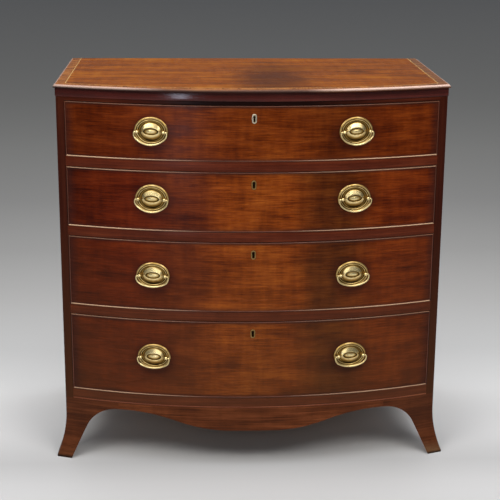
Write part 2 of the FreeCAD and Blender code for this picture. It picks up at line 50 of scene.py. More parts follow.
# ======================================================================== Studio
# A pale floor inside a low white screen, its paint holding painted light: paler beside and under
# the chest, where it lifts the shade, and turning grey far behind it as a painted falloff. Five
# soft lamps hang over, beside and before the chest, in a room with dim walls and a pale ceiling.
# The camera stands a little left of the middle, above the chest's top, and looks slightly down.
def linear(hex_colour):
    """Scene-linear RGBA of an sRGB hex colour: the standard sRGB curve, channel by channel."""
    parts = np.array([int(hex_colour[i : i + 2], 16) for i in (1, 3, 5)]) / 255
    parts = np.where(parts <= 0.04045, parts / 12.92, ((parts + 0.055) / 1.055) ** 2.4)
    return (*(float(part) for part in parts), 1.0)


def add(tree, kind, inputs=None, stops=(), output=0, **settings):
    """Add a shader node and return one of its outputs. inputs maps a socket's name or number to a
    value, to a hex colour or to the output that feeds it, stops are (place, hex colour) pairs of a
    ramp, and settings are the node's properties."""
    node = tree.nodes.new("ShaderNode" + kind)
    for name, value in settings.items():
        setattr(node, name, value)
    for key, value in (inputs or {}).items():
        if isinstance(value, bpy.types.NodeSocket):
            tree.links.new(value, node.inputs[key])
        else:
            node.inputs[key].default_value = linear(value) if isinstance(value, str) else value
    if stops:
        band = node.color_ramp.elements
        while len(band) < len(stops):
            band.new(0.5)
        for element, (place, colour) in zip(band, stops):
            element.position = place
            element.color = linear(colour)
    return node.outputs[output] if node.outputs else node


def blank_material(name):
    """A material and its empty node tree."""
    material = bpy.data.materials.new(name)
    material.use_nodes = True
    material.node_tree.nodes.clear()
    return material, material.node_tree


def staged(name, points, faces, paint):
    """Set up one painted mesh of the studio."""
    mesh = bpy.data.meshes.new(name)
    mesh.from_pydata(points, [], faces)
    mesh.materials.append(paint)
    thing = bpy.data.objects.new(name, mesh)
    bpy.context.collection.objects.link(thing)


# Studio floor: matt paint whose colour is painted light: paler beside and under the chest, where
# it lifts the chest's shade, and darker with the distance behind it, a painted falloff of light.
floor_paint, tree = blank_material("matt_studio_floor")
place = add(tree, "TexCoord", output="Object")
depth = add(tree, "SeparateXYZ", {0: place}, output="Y")
far = add(tree, "MapRange", {"Value": depth, "From Min": -0.6, "From Max": 16.0})
painted_floor_light = [
    (0.0, "#C4C4C4"), (0.010, "#C8C8C8"), (0.020, "#BCBCBC"), (0.033, "#D6D6D6"),
    (0.050, "#E0E0DF"), (0.073, "#C8C8C7"), (0.107, "#B8B7B5"), (0.149, "#A6A5A3"),
    (0.206, "#9D9C9A"), (0.284, "#9F9E9B"), (0.398, "#999895"), (1.0, "#888888"),
]
fade = add(tree, "ValToRGB", {0: far}, stops=painted_floor_light)
matt = add(tree, "BsdfDiffuse", {"Color": fade})
add(tree, "OutputMaterial", {"Surface": matt})
half = 60.0
corners = [(-half, -half, 0.0), (half, -half, 0.0), (half, half, 0.0), (-half, half, 0.0)]
staged("floor", corners, [(0, 1, 2, 3)], floor_paint)

# The screen stands round the floor's edge and is seen only from near the floor's level: a circle
# of posts, each with its foot on the floor and its head at the screen's height.
screen_distance = 58.0
screen_height = 12.0
screen_panels = 96
screen_paint, tree = blank_material("matt_white_screen")
matt = add(tree, "BsdfDiffuse", {"Color": "#F2F2F1"})
add(tree, "OutputMaterial", {"Surface": matt})
around = np.linspace(0, 2 * math.pi, screen_panels + 1)
circle = screen_distance * np.stack([np.cos(around), np.sin(around), 0 * around], axis=-1)
posts = np.concatenate([circle, circle + [0.0, 0.0, screen_height]])
foot = np.arange(screen_panels)
head = foot + screen_panels + 1
panels = np.stack([foot + 1, foot, head, head + 1], axis=-1)
staged("screen", posts.tolist(), panels.tolist(), screen_paint)

# Dim walls that brighten towards a white ceiling.
sky = bpy.data.worlds.new("studio_walls")
bpy.context.scene.world = sky
sky.use_nodes = True
tree = sky.node_tree
tree.nodes.clear()
toward = add(tree, "TexCoord", output="Generated")
height = add(tree, "SeparateXYZ", {0: toward}, output="Z")
brightness = add(
    tree, "MapRange",
    {"Value": height, "From Min": 0.3, "From Max": 0.9, "To Min": 0.07, "To Max": 0.60},
)
walls = add(tree, "Background", {"Color": "#EEF1F6", "Strength": brightness})
add(tree, "OutputWorld", {"Surface": walls})


def soft_lamp(name, place, target, size, power, tint):
    """Rectangular area lamp at place, facing target: turned by the target's pitch and bearing."""
    lamp = bpy.data.lights.new(name, "AREA")
    lamp.shape = "RECTANGLE"
    lamp.size, lamp.size_y = size
    lamp.energy = power
    lamp.color = linear(tint)[:3]
    holder = bpy.data.objects.new(name, lamp)
    aim = np.array(target) - np.array(place)
    pitch = math.atan2(math.hypot(aim[0], aim[1]), -aim[2])
    holder.rotation_euler = (pitch, 0.0, math.atan2(-aim[0], aim[1]))
    holder.location = place
    bpy.context.collection.objects.link(holder)


soft_lamp("overhead_box", (0.1, 0.1, 3.4), (0.0, 0.1, 0.0), (3.4, 2.8), 84.0, "#FDFDFF")
soft_lamp("left_box", (-1.7, -2.0, 2.9), (0.0, -0.2, 0.7), (1.8, 1.1), 44.0, "#FFFCF8")
soft_lamp("right_box", (1.35, -2.3, 2.9), (0.0, -0.2, 0.7), (1.8, 1.1), 44.0, "#FFFCF8")
soft_lamp("front_box", (-0.25, -4.8, 2.2), (0.0, -0.3, 0.7), (3.6, 1.1), 22.0, "#FFFDF8")
soft_lamp("left_strip", (-1.04, -3.33, 0.52), (-0.19, -0.29, 1.02), (0.20, 0.8), 7.5, "#D5E0F5")

camera_place = (-0.1537, -3.5323, 1.536)
camera_yaw = math.radians(2.564)
camera_pitch = math.radians(15.849)
camera_roll = math.radians(0.409)
frame_pixels = 500
camera_focus = 1278.2  # focal length in pixels of the frame
lens = bpy.data.cameras.new("camera")
lens.sensor_width = 36.0
lens.lens = camera_focus / frame_pixels * lens.sensor_width
lens.clip_end = 200.0
camera = bpy.data.objects.new("camera", lens)
bpy.context.collection.objects.link(camera)
camera.matrix_world = (
    Matrix.Translation(camera_place)
    @ Matrix.Rotation(-camera_yaw, 4, "Z")
    @ Matrix.Rotation(math.pi / 2 - camera_pitch, 4, "X")
    @ Matrix.Rotation(camera_roll, 4, "Z")
)
bpy.context.scene.camera = camera
bpy.context.scene.view_settings.view_transform = "Standard"


# ======================================================================== Top
# A thin mahogany board with a thumb moulded edge, faded to a warm brown by the light, with a
# crossband round its front and sides and a boxwood string inside the band.
def box_mm(node):
    """Lowest and highest corner of a node of the frame, in millimetres."""
    return [np.array(corner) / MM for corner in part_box(node)]


carcase_half = 514.0
side_depth = 512.0
side_thickness = 22.0
bow_rise = 94.0
side_lo, side_hi = box_mm("side_right")
side_back = side_hi[1]
front_corner_y = side_back - side_depth
bow_radius = (carcase_half**2 + bow_rise**2) / (2 * bow_rise)
bow_axis_y = front_corner_y - bow_rise + bow_radius


def bow_y(x, proud=0.0):
    """Depth of the bowed front at x: a circle about the bow's axis, proud of the carcase."""
    return bow_axis_y - np.sqrt((bow_radius + proud) ** 2 - np.square(x))


def along_bow(x):
    """Distance along the bow from the middle to x: radius times angle."""
    return bow_radius * np.arcsin(x / bow_radius)


def grid(first, second):
    """Points over a grid: every pair of the two rows of numbers."""
    return np.meshgrid(first, second, indexing="ij")


def stack(*parts):
    """Join two arrays into pairs, or three into points, spread to one shape."""
    return np.stack(np.broadcast_arrays(*parts), axis=-1).astype(float)


def walked(line):
    """Distance walked along a line of points, from its first point."""
    return np.concatenate([[0.0], np.cumsum(np.linalg.norm(np.diff(line, axis=0), axis=1))])


same_point = 0.003 * MM
thin_face = 0.002 * MM


def make_piece(name, node, patches, material, body="carcase", sharp=40.0,
               maps=("grain",)):
    """Build one closed piece in the place of a node. Each patch is a grid of points in millimetres
    followed by one grid of pairs for each UV map: shares for wear, millimetres for the others.
    Neighbouring grid points are joined to quads, equal points are merged, open ends are closed by
    a flat face, and faces are turned outwards."""
    points, quads = [], []
    pairs = [[] for _ in maps]
    start = 0
    for patch in patches:
        shape = patch[0].shape[:2]
        number = start + np.arange(shape[0] * shape[1]).reshape(shape)
        start += shape[0] * shape[1]
        corners = [number[:-1, :-1], number[1:, :-1], number[1:, 1:], number[:-1, 1:]]
        quads.append(np.stack([corner.ravel() for corner in corners], axis=1))
        points.append(patch[0].reshape(-1, 3) * MM)
        for map_name, kept, given in zip(maps, pairs, patch[1:]):
            kept.append(given.reshape(-1, 2) * (1.0 if map_name == "wear_and_light" else MM))
    quads = np.concatenate(quads)
    mesh = bpy.data.meshes.new(name)
    mesh.from_pydata(np.concatenate(points).tolist(), [], quads.tolist())
    for map_name, kept in zip(maps, pairs):
        values = np.concatenate(kept)[quads.ravel()].astype(np.float32)
        mesh.uv_layers.new(name=map_name).data.foreach_set("uv", values.ravel())
    shell = bmesh.new()
    shell.from_mesh(mesh)
    bmesh.ops.remove_doubles(shell, verts=shell.verts, dist=same_point)
    bmesh.ops.dissolve_degenerate(shell, edges=shell.edges, dist=thin_face)
    rims = [edge for edge in shell.edges if edge.is_boundary]
    ends = bmesh.ops.holes_fill(shell, edges=rims, sides=0)["faces"] if rims else []
    for face in ends:
        level = abs(face.normal.z) > 0.7
        for loop in face.loops:
            spot = loop.vert.co
            for layer in shell.loops.layers.uv.values():
                loop[layer].uv = (0.0, 0.0)
            if "grain" in maps:
                end_grain = (spot.x, spot.y - spot.z) if level else (spot.y, spot.z)
                loop[shell.loops.layers.uv["grain"]].uv = end_grain
    bmesh.ops.recalc_face_normals(shell, faces=shell.faces)
    shell.to_mesh(mesh)
    shell.free()
    mesh.polygons.foreach_set("use_smooth", np.ones(len(mesh.polygons), bool))
    mesh.set_sharp_from_angle(angle=math.radians(sharp))
    mesh.materials.append(material)
    piece = bpy.data.objects.new(name, mesh)
    bpy.context.collection.objects.link(piece)
    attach(piece, body)
    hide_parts(node)
    return piece


def wood(name, colours, grain=None, figure=(280.0, 34.0), streak=(420.0, 5.0), pore=(9.0, 0.7),
         pore_depth=0.35, contrast=1.0, ribbon=0.08, gloss=0.30, shine=0.12, shade=None):
    """Wood with its grain along U of the piece's grain map, or along an axis of the object.

    Slow figure, fine streaks, ribbons across the grain and short pores are noises, each with the
    length along the grain and the width of one mark in millimetres. colours are dark, middle and
    light. shade may change the colour before it reaches the shader. Waxed and polished wood has
    an IOR of 1.5."""
    material, tree = blank_material(name)
    if grain is None:
        place = add(tree, "UVMap", uv_map="grain")
    else:
        turned = {"X": (0, 0, 0), "Y": (0, 0, math.pi / 2), "Z": (0, math.pi / 2, 0)}[grain]
        place = add(tree, "TexCoord", output="Object")
        place = add(tree, "Mapping", {0: place, "Rotation": turned})

    def marks(size, detail, offset):
        """Noise whose marks are size[0] mm long and size[1] mm wide, kept apart by its offset."""
        scale = (1 / (size[0] * MM), 1 / (size[1] * MM), 1 / (size[1] * MM))
        moved = add(tree, "Mapping", {0: place, "Location": (offset,) * 3, "Scale": scale})
        noise = {"Vector": moved, "Scale": 1.0, "Detail": detail, "Roughness": 0.6}
        return add(tree, "TexNoise", noise)

    slow = marks(figure, 3.0, 3.1)
    fine = marks(streak, 4.0, 17.3)
    ribbons = marks((20.0, 120.0), 2.0, 41.7)
    tone = add(tree, "Mix", {0: 0.50, 2: slow, 3: fine})
    tone = add(tree, "Mix", {0: ribbon, 2: tone, 3: ribbons})
    # most of such a noise lies within 0.17 of its middle
    spread = 0.17 / contrast
    dark, middle, light = colours
    tones = [(0.5 - spread, dark), (0.5, middle), (0.5 + spread, light)]
    colour = add(tree, "ValToRGB", {0: tone}, stops=tones)
    pores = marks(pore, 2.0, 29.9)
    pores = add(tree, "MapRange", {"Value": pores, "From Min": 0.56, "From Max": 0.70})
    sunk = add(tree, "Math", {0: pores, 1: pore_depth}, operation="MULTIPLY")
    colour = add(tree, "Mix", {0: sunk, 6: colour, 7: "#140A07"}, output=2, data_type="RGBA")
    if shade:
        colour = shade(tree, colour)
    height = add(tree, "Math", {0: fine, 1: pores}, operation="SUBTRACT")
    relief = add(tree, "Bump", {"Strength": 0.25, "Distance": 0.05 * MM, "Height": height})
    dulled = add(
        tree, "MapRange",
        {"Value": slow, "From Min": 0.3, "From Max": 0.7, "To Min": gloss - 0.05,
         "To Max": gloss + 0.08},
    )
    finish = add(
        tree, "BsdfPrincipled",
        {"Base Color": colour, "Roughness": dulled, "Normal": relief, "IOR": 1.5,
         "Specular IOR Level": shine},
    )
    add(tree, "OutputMaterial", {"Surface": finish})
    return material


top_lo, top_hi = box_mm("top_board")
top_half = top_hi[0]
top_overhang = 8.0
thumb_width = 8.0
thumb_lip = 0.9  # upright edge under the thumb
inlay_sunk = 0.1  # the board lies this much under its inlay
back_bevel = 0.4


def top_outline(inset):
    """Closed outline of the top, set in from its edges: bowed front, right side, back, left side.
    The back edge moves in by at most a bevel's width."""
    half = top_half - inset
    x = np.linspace(-1, 1, 129) * half
    y = bow_y(x, top_overhang - inset)
    back_y = top_hi[1] - min(inset, back_bevel)
    right_y = y[-1] + np.linspace(0, 1, 25) * (back_y - y[-1])
    back_x = -np.linspace(-half, half, 65)
    loop_x = np.concatenate([x, np.full(25, half), back_x, np.full(25, -half)])
    loop_y = np.concatenate([y, right_y, np.full(65, back_y), right_y[::-1]])
    return loop_x, loop_y


# Rings from under the board, round the thumb and onto the board: insets and levels.
flat_inset = 60.0
thumb_height = top_hi[2] - top_lo[2] - thumb_lip - inlay_sunk
steps = np.linspace(0, math.pi / 2, 9)
insets = np.concatenate([[flat_inset, 0.3], thumb_width * (1 - np.cos(steps)), [flat_inset]])
lifts = np.concatenate([[0.0, 0.0], thumb_lip + thumb_height * np.sin(steps)])
levels = np.append(top_lo[2] + lifts, top_hi[2] - inlay_sunk)
rings = [stack(*top_outline(inset), level) for inset, level in zip(insets, levels)]
top_points = np.array(rings)
top_grain = stack(top_points[..., 0], top_points[..., 1] - top_points[..., 2])


def measures(tree, uv_map=None):
    """X, Y and Z of a point of the object in metres, or of a point on a UV map."""
    place = add(tree, "UVMap", uv_map=uv_map) if uv_map else add(tree, "TexCoord", output="Object")
    return add(tree, "SeparateXYZ", {0: place}).node.outputs


def weathered(tree, colour, tint, measure, span, shares, **settings):
    """Blend a tint into a colour: the tint's share goes from the first to the second of shares
    while the measure goes from the first to the second of span."""
    share = add(
        tree, "MapRange",
        {"Value": measure, "From Min": span[0], "From Max": span[1], "To Min": shares[0],
         "To Max": shares[1]},
        **settings,
    )
    return add(tree, "Mix", {0: share, 6: colour, 7: tint}, output=2, data_type="RGBA")


def top_figure(tree, colour):
    """Darker heartwood figure on the board, and its moulded edge: painted shade on its lower half
    (Y of its UV map), and on its upper half towards the ends a pale painted highlight that stands
    partly for rubbing (X of its UV map)."""
    place = add(tree, "TexCoord", output="Object")
    # waves about 90 mm long and 30 mm wide bend the figure's borders by up to 80 and 40 mm
    waves_per_metre = (11.0, 33.0, 33.0)
    bend = (0.16, 0.08, 0.0)
    stretched = add(tree, "Mapping", {0: place, "Scale": waves_per_metre})
    noise = {"Vector": stretched, "Scale": 1.0, "Detail": 4.0}
    waves = add(tree, "TexNoise", noise, output=1)
    waves = add(tree, "VectorMath", {0: waves, 1: (0.5, 0.5, 0.5)}, operation="SUBTRACT")
    bent = add(tree, "VectorMath", {0: waves, 1: bend, 2: place}, operation="MULTIPLY_ADD")
    # each dark cloud: its middle and its half width along X and Y in metres, and its strength
    for middle, size, strength in (
        ((0.06, -0.12), (0.12, 0.34), 0.74),
        ((0.30, 0.03), (0.05, 0.045), 0.62),
        ((0.20, 0.10), (0.20, 0.06), 0.30),
        ((0.44, -0.05), (0.10, 0.10), 0.20),
    ):
        moved = (-middle[0] / size[0], -middle[1] / size[1], 0.0)
        scale = (1 / size[0], 1 / size[1], 0.0)
        local = add(tree, "Mapping", {0: bent, "Location": moved, "Scale": scale})
        reach = add(tree, "VectorMath", {0: local}, output="Value", operation="LENGTH")
        colour = weathered(tree, colour, "#3A1C10", reach, (0.2, 1.3), (strength, 0.0),
                           interpolation_type="SMOOTHSTEP")
    wear_and_light = measures(tree, "wear_and_light")
    # painted shade on the edge's lower half, then a pale painted highlight, partly rubbing, on its
    # upper half
    for share, tint in ((wear_and_light["Y"], "#24100C"), (wear_and_light["X"], "#D8BCAE")):
        colour = add(tree, "Mix", {0: share, 6: colour, 7: tint}, output=2, data_type="RGBA")
    return colour


top_wood = wood(
    "faded_mahogany_top", ("#4D2306", "#7D4010", "#A0611B"), figure=(300.0, 60.0),
    streak=(160.0, 7.0), ribbon=0.16, gloss=0.26, shine=0.05, shade=top_figure,
)
# How much pale painted highlight, which stands partly for rubbing, and how much painted shade each
# ring of the moulding takes. The highlight grows towards the ends: it starts the second of the
# numbers below away from the first, outwards, is full after the third more, and is stronger at the
# right end.
highlight_and_rub_rings = np.array([0.0, 0.0, 0.0, 0.1, 0.35, 0.7, 1.0, 1.0, 0.8, 0.4, 0.0, 0.0])[:, None]
painted_shade_rings = np.array([1.0, 1.0, 1.0, 1.0, 0.95, 0.85, 0.7, 0.5, 0.3, 0.1, 0.0, 0.0])[:, None]
rub_highlight_middle, rub_highlight_start, rub_highlight_run = -48.0, 180.0, 110.0
off_middle = np.abs(top_points[..., 0] - rub_highlight_middle)
ends = np.clip((off_middle - rub_highlight_start) / rub_highlight_run, 0.0, 1.0)
right = top_points[..., 0] > 0
top_edge_light_and_rubbing = stack(
    highlight_and_rub_rings * (0.08 + ends * np.where(right, 0.72, 0.46)),
    painted_shade_rings * (1 - 0.25 * ends * right),
)
make_piece("top_board_moulded", "top_board", [(top_points, top_grain, top_edge_light_and_rubbing)], top_wood,
           maps=("grain", "wear_and_light"))


def inlay(name, node, outer, inner, material, across_grain):
    """Bands let into the top between two insets: one along the front, mitred to one on each side.
    Each is a thin closed bar: a rectangle of inset and height carried along the edge."""
    inset = np.array([outer, inner, inner, outer, outer])
    level = top_hi[2] - inlay_thickness * np.array([0, 0, 1, 1, 0])
    half = top_half - inset
    share = np.linspace(-1, 1, 129)[:, None]
    x = share * half
    bands = [(stack(x, bow_y(x, top_overhang - inset), level), stack(along_bow(x), inset))]
    corner_y = bow_y(half, top_overhang - inset)
    share = np.linspace(0, 1, 33)[:, None]
    y = corner_y + share * (top_hi[1] - corner_y)
    for hand in (-1, 1):
        bands.append((stack(hand * half, y, level), stack(y, inset) + 700.0 * hand))
    for label, (points, grain_map) in zip(("front", "left", "right"), bands):
        grain_map = grain_map[..., ::-1] if across_grain else grain_map
        make_piece(f"{name}_{label}", node, [(points, grain_map)], material)


def dull_right_band(tree, colour):
    """The right band is greyer than the others, dulled by damp."""
    return weathered(tree, colour, "#4F3E35", measures(tree)["X"], (0.36, 0.50), (0.0, 0.48))


crossband_wood = wood(
    "crossbanded_mahogany", ("#5B3115", "#864F23", "#A97038"), figure=(60.0, 24.0),
    streak=(50.0, 3.0), gloss=0.26, shade=dull_right_band,
)
boxwood = wood(
    "boxwood_string", ("#9A7440", "#B8925A", "#CDAA70"), figure=(80.0, 10.0), streak=(30.0, 2.0),
    pore_depth=0.1, gloss=0.28,
)
inlay_thickness = 1.0
band_outer, band_inner, string_inner = 8.0, 30.0, 32.0
inlay("top_crossband", "top_crossband", band_outer, band_inner, crossband_wood,
      True)
inlay("top_string", "top_stringing", band_inner, string_inner, boxwood, False)


# ======================================================================== Frieze
# A dark band of polished mahogany under the top, bowed in front and a strip on each side, a
# little proud of the carcase, its lower arris rounded.
def rounded(corners, radii, steps=4):
    """Closed section with rounded corners: at each corner an arc between the two tangent points,
    and the first point again at the end."""
    corners = np.array(corners, float)
    points = []
    for here, before, after, radius in zip(
        corners, np.roll(corners, 1, axis=0), np.roll(corners, -1, axis=0), radii
    ):
        if radius <= 0:
            points.append(here)
            continue
        before = (before - here) / np.linalg.norm(before - here)
        after = (after - here) / np.linalg.norm(after - here)
        half = math.acos(np.clip(np.dot(before, after), -1, 1)) / 2
        reach = radius / math.tan(half)
        middle = here + (before + after) / np.linalg.norm(before + after) * radius / math.sin(half)
        first = here + before * reach - middle
        last = here + after * reach - middle
        whole = math.pi - 2 * half
        part = np.linspace(0, 1, steps + 1)[:, None]
        turned = first * np.sin((1 - part) * whole) + last * np.sin(part * whole)
        points.extend(middle + turned / math.sin(whole))
    return np.array([*points, points[0]])


def board_section(face, back, low, high, rounds):
    """Section of a board, (depth, height) pairs from its lower face corner, with the two corners
    of its face rounded."""
    return rounded([(face, low), (face, high), (back, high), (back, low)], [*rounds, 0, 0])


def bowed_bar(name, node, half, section, material, back=None, run=0.0):
    """Board along the bow, half its width to each side: each point of a section of (proud, height)
    pairs is carried along its own circle about the bow's axis. The section's deepest points move
    to the straight back, where one is given."""
    x, proud = grid(np.linspace(-half, half, 97), section[:, 0])
    y = bow_y(x, proud)
    if back is not None:
        y = np.where(proud <= section[:, 0].min() + 0.01, back, y)
    grain_map = stack(along_bow(x) + run, walked(section) + 3 * run)
    return make_piece(name, node, [(stack(x, y, section[:, 1]), grain_map)], material)


frieze_lo, frieze_hi = box_mm("frieze")
frieze_proud = 1.5
frieze_rounds = (1.6, 0.3)
rail_thickness = 30.0
rail_back = front_corner_y + 45.0
back_rebate = 9.0
hands = ((-1, "left"), (1, "right"))
frieze_wood = wood(
    "dark_polished_mahogany", ("#290D08", "#40140F", "#5D2417"), gloss=0.14, shine=0.26
)
section = board_section(frieze_proud, -rail_thickness, frieze_lo[2], frieze_hi[2], frieze_rounds)
bowed_bar("frieze_front", "frieze", frieze_hi[0], section, frieze_wood, back=rail_back)
for hand, label in hands:
    outer = hand * frieze_hi[0]
    inner = hand * (carcase_half - side_thickness)
    section = board_section(outer, inner, frieze_lo[2], frieze_hi[2], frieze_rounds)
    y, x = grid([rail_back, side_back - back_rebate], section[:, 0])
    grain_map = stack(y, walked(section) + 300.0 * hand)
    make_piece(f"frieze_side_{label}", "frieze", [(stack(x, y, section[:, 1]), grain_map)],
               frieze_wood)


# ======================================================================== Sides
# Two mahogany boards with upright grain. Their front edges follow the bow and stand as stiles on
# both sides of the drawers; the back edges are rebated for the back boards.
def browner_below(tree, colour):
    """Stiles, rails and fronts that are near the floor have faded browner than the upper ones."""
    return weathered(tree, colour, "#50351D", measures(tree)["Z"], (0.2, 0.7), (0.38, 0.0))


def dark_stile(tree, colour):
    """The front 50 mm of each side and the stile in front are dark with handled polish."""
    span = ((front_corner_y + 4.0) * MM, (front_corner_y + 54.0) * MM)
    colour = weathered(tree, colour, "#280D07", measures(tree)["Y"], span, (0.78, 0.0),
                       interpolation_type="SMOOTHSTEP")
    return browner_below(tree, colour)


side_wood = wood(
    "polished_mahogany_side", ("#3A160D", "#552314", "#733821"), figure=(400.0, 60.0),
    streak=(260.0, 6.0), gloss=0.28, shine=0.05, shade=dark_stile,
)
opening_half = carcase_half - side_thickness
rebate_x = opening_half + 10.0
rebate_y = side_back - back_rebate
for hand, label in hands:
    plan = rounded(
        [(opening_half, bow_y(opening_half)), (carcase_half, bow_y(carcase_half)),
         (carcase_half, side_back), (rebate_x, side_back), (rebate_x, rebate_y),
         (opening_half, rebate_y)],
        [0.3, 1.2, 0.8, 0, 0, 0],
    )
    plan[:, 0] *= hand
    levels, x = grid([side_lo[2], side_hi[2]], plan[:, 0])
    grain_map = stack(levels + 900.0 * hand, walked(plan) + 1800.0 * hand)
    make_piece(f"side_{label}_board", f"side_{label}", [(stack(x, plan[:, 1], levels), grain_map)],
               side_wood)


# ======================================================================== Rails
# Mahogany rails between the drawers, flush with the stiles and straight at the back, each over a
# drawer mortised from below for the lock's bolt. The top rail is thin and lies in the shadow under
# the frieze; a light bead runs under the bottom rail.
def sealed(mesh):
    """Merge a mesh's equal points and turn its faces outwards."""
    shell = bmesh.new()
    shell.from_mesh(mesh)
    bmesh.ops.remove_doubles(shell, verts=shell.verts, dist=same_point)
    bmesh.ops.recalc_face_normals(shell, faces=shell.faces)
    shell.to_mesh(mesh)
    shell.free()


def cut_out(piece, prisms):
    """Take prisms out of a piece. Each is a closed outline of (x, z) points and the two depths
    that it spans."""
    for outline, near, far in prisms:
        depth, x = grid([near, far], outline[:-1, 0])
        points = stack(x, depth, outline[:-1, 1]) * MM
        count = len(outline) - 1
        first = np.arange(count)
        after = (first + 1) % count
        walls = np.stack([first, after, after + count, first + count], axis=1)
        ends = np.stack([first, first + count])
        mesh = bpy.data.meshes.new("cutter")
        mesh.from_pydata(points.reshape(-1, 3).tolist(), [], walls.tolist() + ends.tolist())
        sealed(mesh)
        cutter = bpy.data.objects.new("cutter", mesh)
        bpy.context.collection.objects.link(cutter)
        modifier = piece.modifiers.new("hole", "BOOLEAN")
        modifier.object = cutter
        modifier.solver = "EXACT"
        bpy.context.view_layer.update()
        cut = piece.evaluated_get(bpy.context.evaluated_depsgraph_get())
        shaped = bpy.data.meshes.new_from_object(cut)
        piece.modifiers.clear()
        bpy.data.objects.remove(cutter)
        sealed(shaped)
        piece.data = shaped


def rectangle(x0, x1, z0, z1):
    """Closed outline of a rectangle."""
    return np.array([(x0, z0), (x1, z0), (x1, z1), (x0, z1), (x0, z0)])


def painted_frieze_shadow(tree, colour):
    """Painted shadow: the top rail is painted nearly black where the frieze shades it, except
    towards its ends.
    """
    out = add(tree, "Math", {0: measures(tree)["X"]}, operation="ABSOLUTE")
    return weathered(tree, colour, "#0E0504", out, (0.15, 0.42), (0.95, 0.15))


top_rail_wood = wood(
    "mahogany_top_rail_painted_shadow", ("#30110A", "#481C0F", "#612B18"), shine=0.05, shade=painted_frieze_shadow
)
rail_wood = wood(
    "polished_mahogany_rail", ("#38140B", "#512010", "#6C3019"), figure=(200.0, 30.0),
    streak=(260.0, 4.0), gloss=0.28, shine=0.08, shade=browner_below,
)
bead_wood = wood(
    "light_mahogany_bead", ("#5A2A18", "#74402A", "#8E5638"), figure=(120.0, 12.0),
    streak=(160.0, 3.0), gloss=0.30,
)
drawer_boxes = [box_mm(f"drawer{number}_cockbead") for number in (1, 2, 3, 4)]
over_gap = 1.5
under_gap = 0.5
base_height = box_mm("front_rails")[0][2]
string_height = 3.0
mortise_half_width = 10.0
mortise_depth = 7.0
mortise_gap = 1.0
beyond = 5.0  # how far a prism stands out of what it cuts
rail_levels = [(drawer_boxes[0][1][2] + over_gap, frieze_lo[2])]
for upper, lower in zip(drawer_boxes[:-1], drawer_boxes[1:]):
    rail_levels.append((lower[1][2] + over_gap, upper[0][2] - under_gap))
rail_levels.append((base_height + string_height, drawer_boxes[-1][0][2] - under_gap))
for number, (z0, z1) in enumerate(rail_levels):
    section = board_section(0.0, -rail_thickness, z0, z1, (0.5, 0.5))
    rail = bowed_bar(f"rail_{number}", "front_rails", opening_half, section,
                     rail_wood if number else top_rail_wood, back=rail_back, run=1300.0 * number)
    if number < len(drawer_boxes):
        bolt_lo, bolt_hi = box_mm(f"drawer{number + 1}_bolt")
        mortise = rectangle(
            -mortise_half_width, mortise_half_width, z0 - beyond, z0 + mortise_depth
        )
        cut_out(rail, [(mortise, bolt_lo[1] - mortise_gap, bolt_hi[1] + mortise_gap)])
section = board_section(0.5, -3.0, base_height, base_height + string_height, (0.9, 0.9))
bowed_bar("base_bead", "front_rails", opening_half, section, bead_wood)


# ======================================================================== Base
# The apron and the splayed bracket feet are sawn from boards and veneered with mahogany. The
# front of the base is one bowed skin that sweeps outwards to the toes; the sides splay the same.
bracket_thickness = 22.0
splay = 26.5
toe_height = 4.0
splay_top = base_height - 41.5
arch_height = base_height - 20.0
apron_height = base_height - 67.5
apron_flat = 60.0
crown_x = carcase_half - 148.0
crown_flat = 16.0
curve_radius = 98.0
slope = math.radians(64.5)
splay_drop = splay_top - toe_height
splay_radius = (splay_drop**2 + splay**2) / (2 * splay)


def splay_at(z):
    """How far the base stands out at height z: a circle that leaves the upright at splay_top."""
    drop = np.clip(splay_top - z, 0.0, splay_drop)
    return splay_radius - np.sqrt(splay_radius**2 - drop**2)


def skin_y(x, z, inset):
    """Depth of the bowed base skin at x and z, inset from its front face."""
    return bow_y(x, splay_at(z) - inset)


def apron_edge(x):
    """Height of the apron's lower edge: level in the middle, then two equal tangent arcs."""
    reach = crown_x - crown_flat - apron_flat
    rise = arch_height - apron_height
    radius = (reach**2 + rise**2) / (4 * rise)
    out = np.clip(np.abs(x) - apron_flat, 0.0, reach)
    low = apron_height + radius - np.sqrt(radius**2 - np.minimum(out, reach / 2) ** 2)
    high = arch_height - radius + np.sqrt(radius**2 - np.minimum(reach - out, reach / 2) ** 2)
    return np.where(out < reach / 2, low, high)


def feet_scuffs_and_light(tree, colour):
    """The feet are darker than the apron; their bottom 40 mm is paler, scuffed and with a painted
    highlight where the splayed toes catch the light, the right toes the most, down to a dark edge
    of painted shade where they meet the floor."""
    parts = measures(tree)
    out = add(tree, "Math", {0: parts["X"]}, operation="ABSOLUTE")
    colour = weathered(tree, colour, "#341C12", out, (0.34, 0.46), (0.0, 0.40))
    # scuffs 12 mm across
    place = add(tree, "TexCoord", output="Object")
    scuffs = add(tree, "TexNoise", {"Vector": place, "Scale": 1 / (12 * MM), "Detail": 4.0})
    height = add(tree, "Math", {0: scuffs, 1: 0.03, 2: parts["Z"]}, operation="MULTIPLY_ADD")
    most = add(
        tree, "MapRange",
        {"Value": parts["X"], "From Min": -0.5, "From Max": 0.5, "To Min": 0.2, "To Max": 1.0},
    )
    # paler bottom: scuffs, and a painted highlight on the toes
    colour = weathered(tree, colour, "#6A4B33", height, (0.018, 0.05), (most, 0.0))
    # painted shade: a dark edge where the feet meet the floor
    return weathered(tree, colour, "#1C120C", parts["Z"], (0.003, 0.008), (0.9, 0.0))


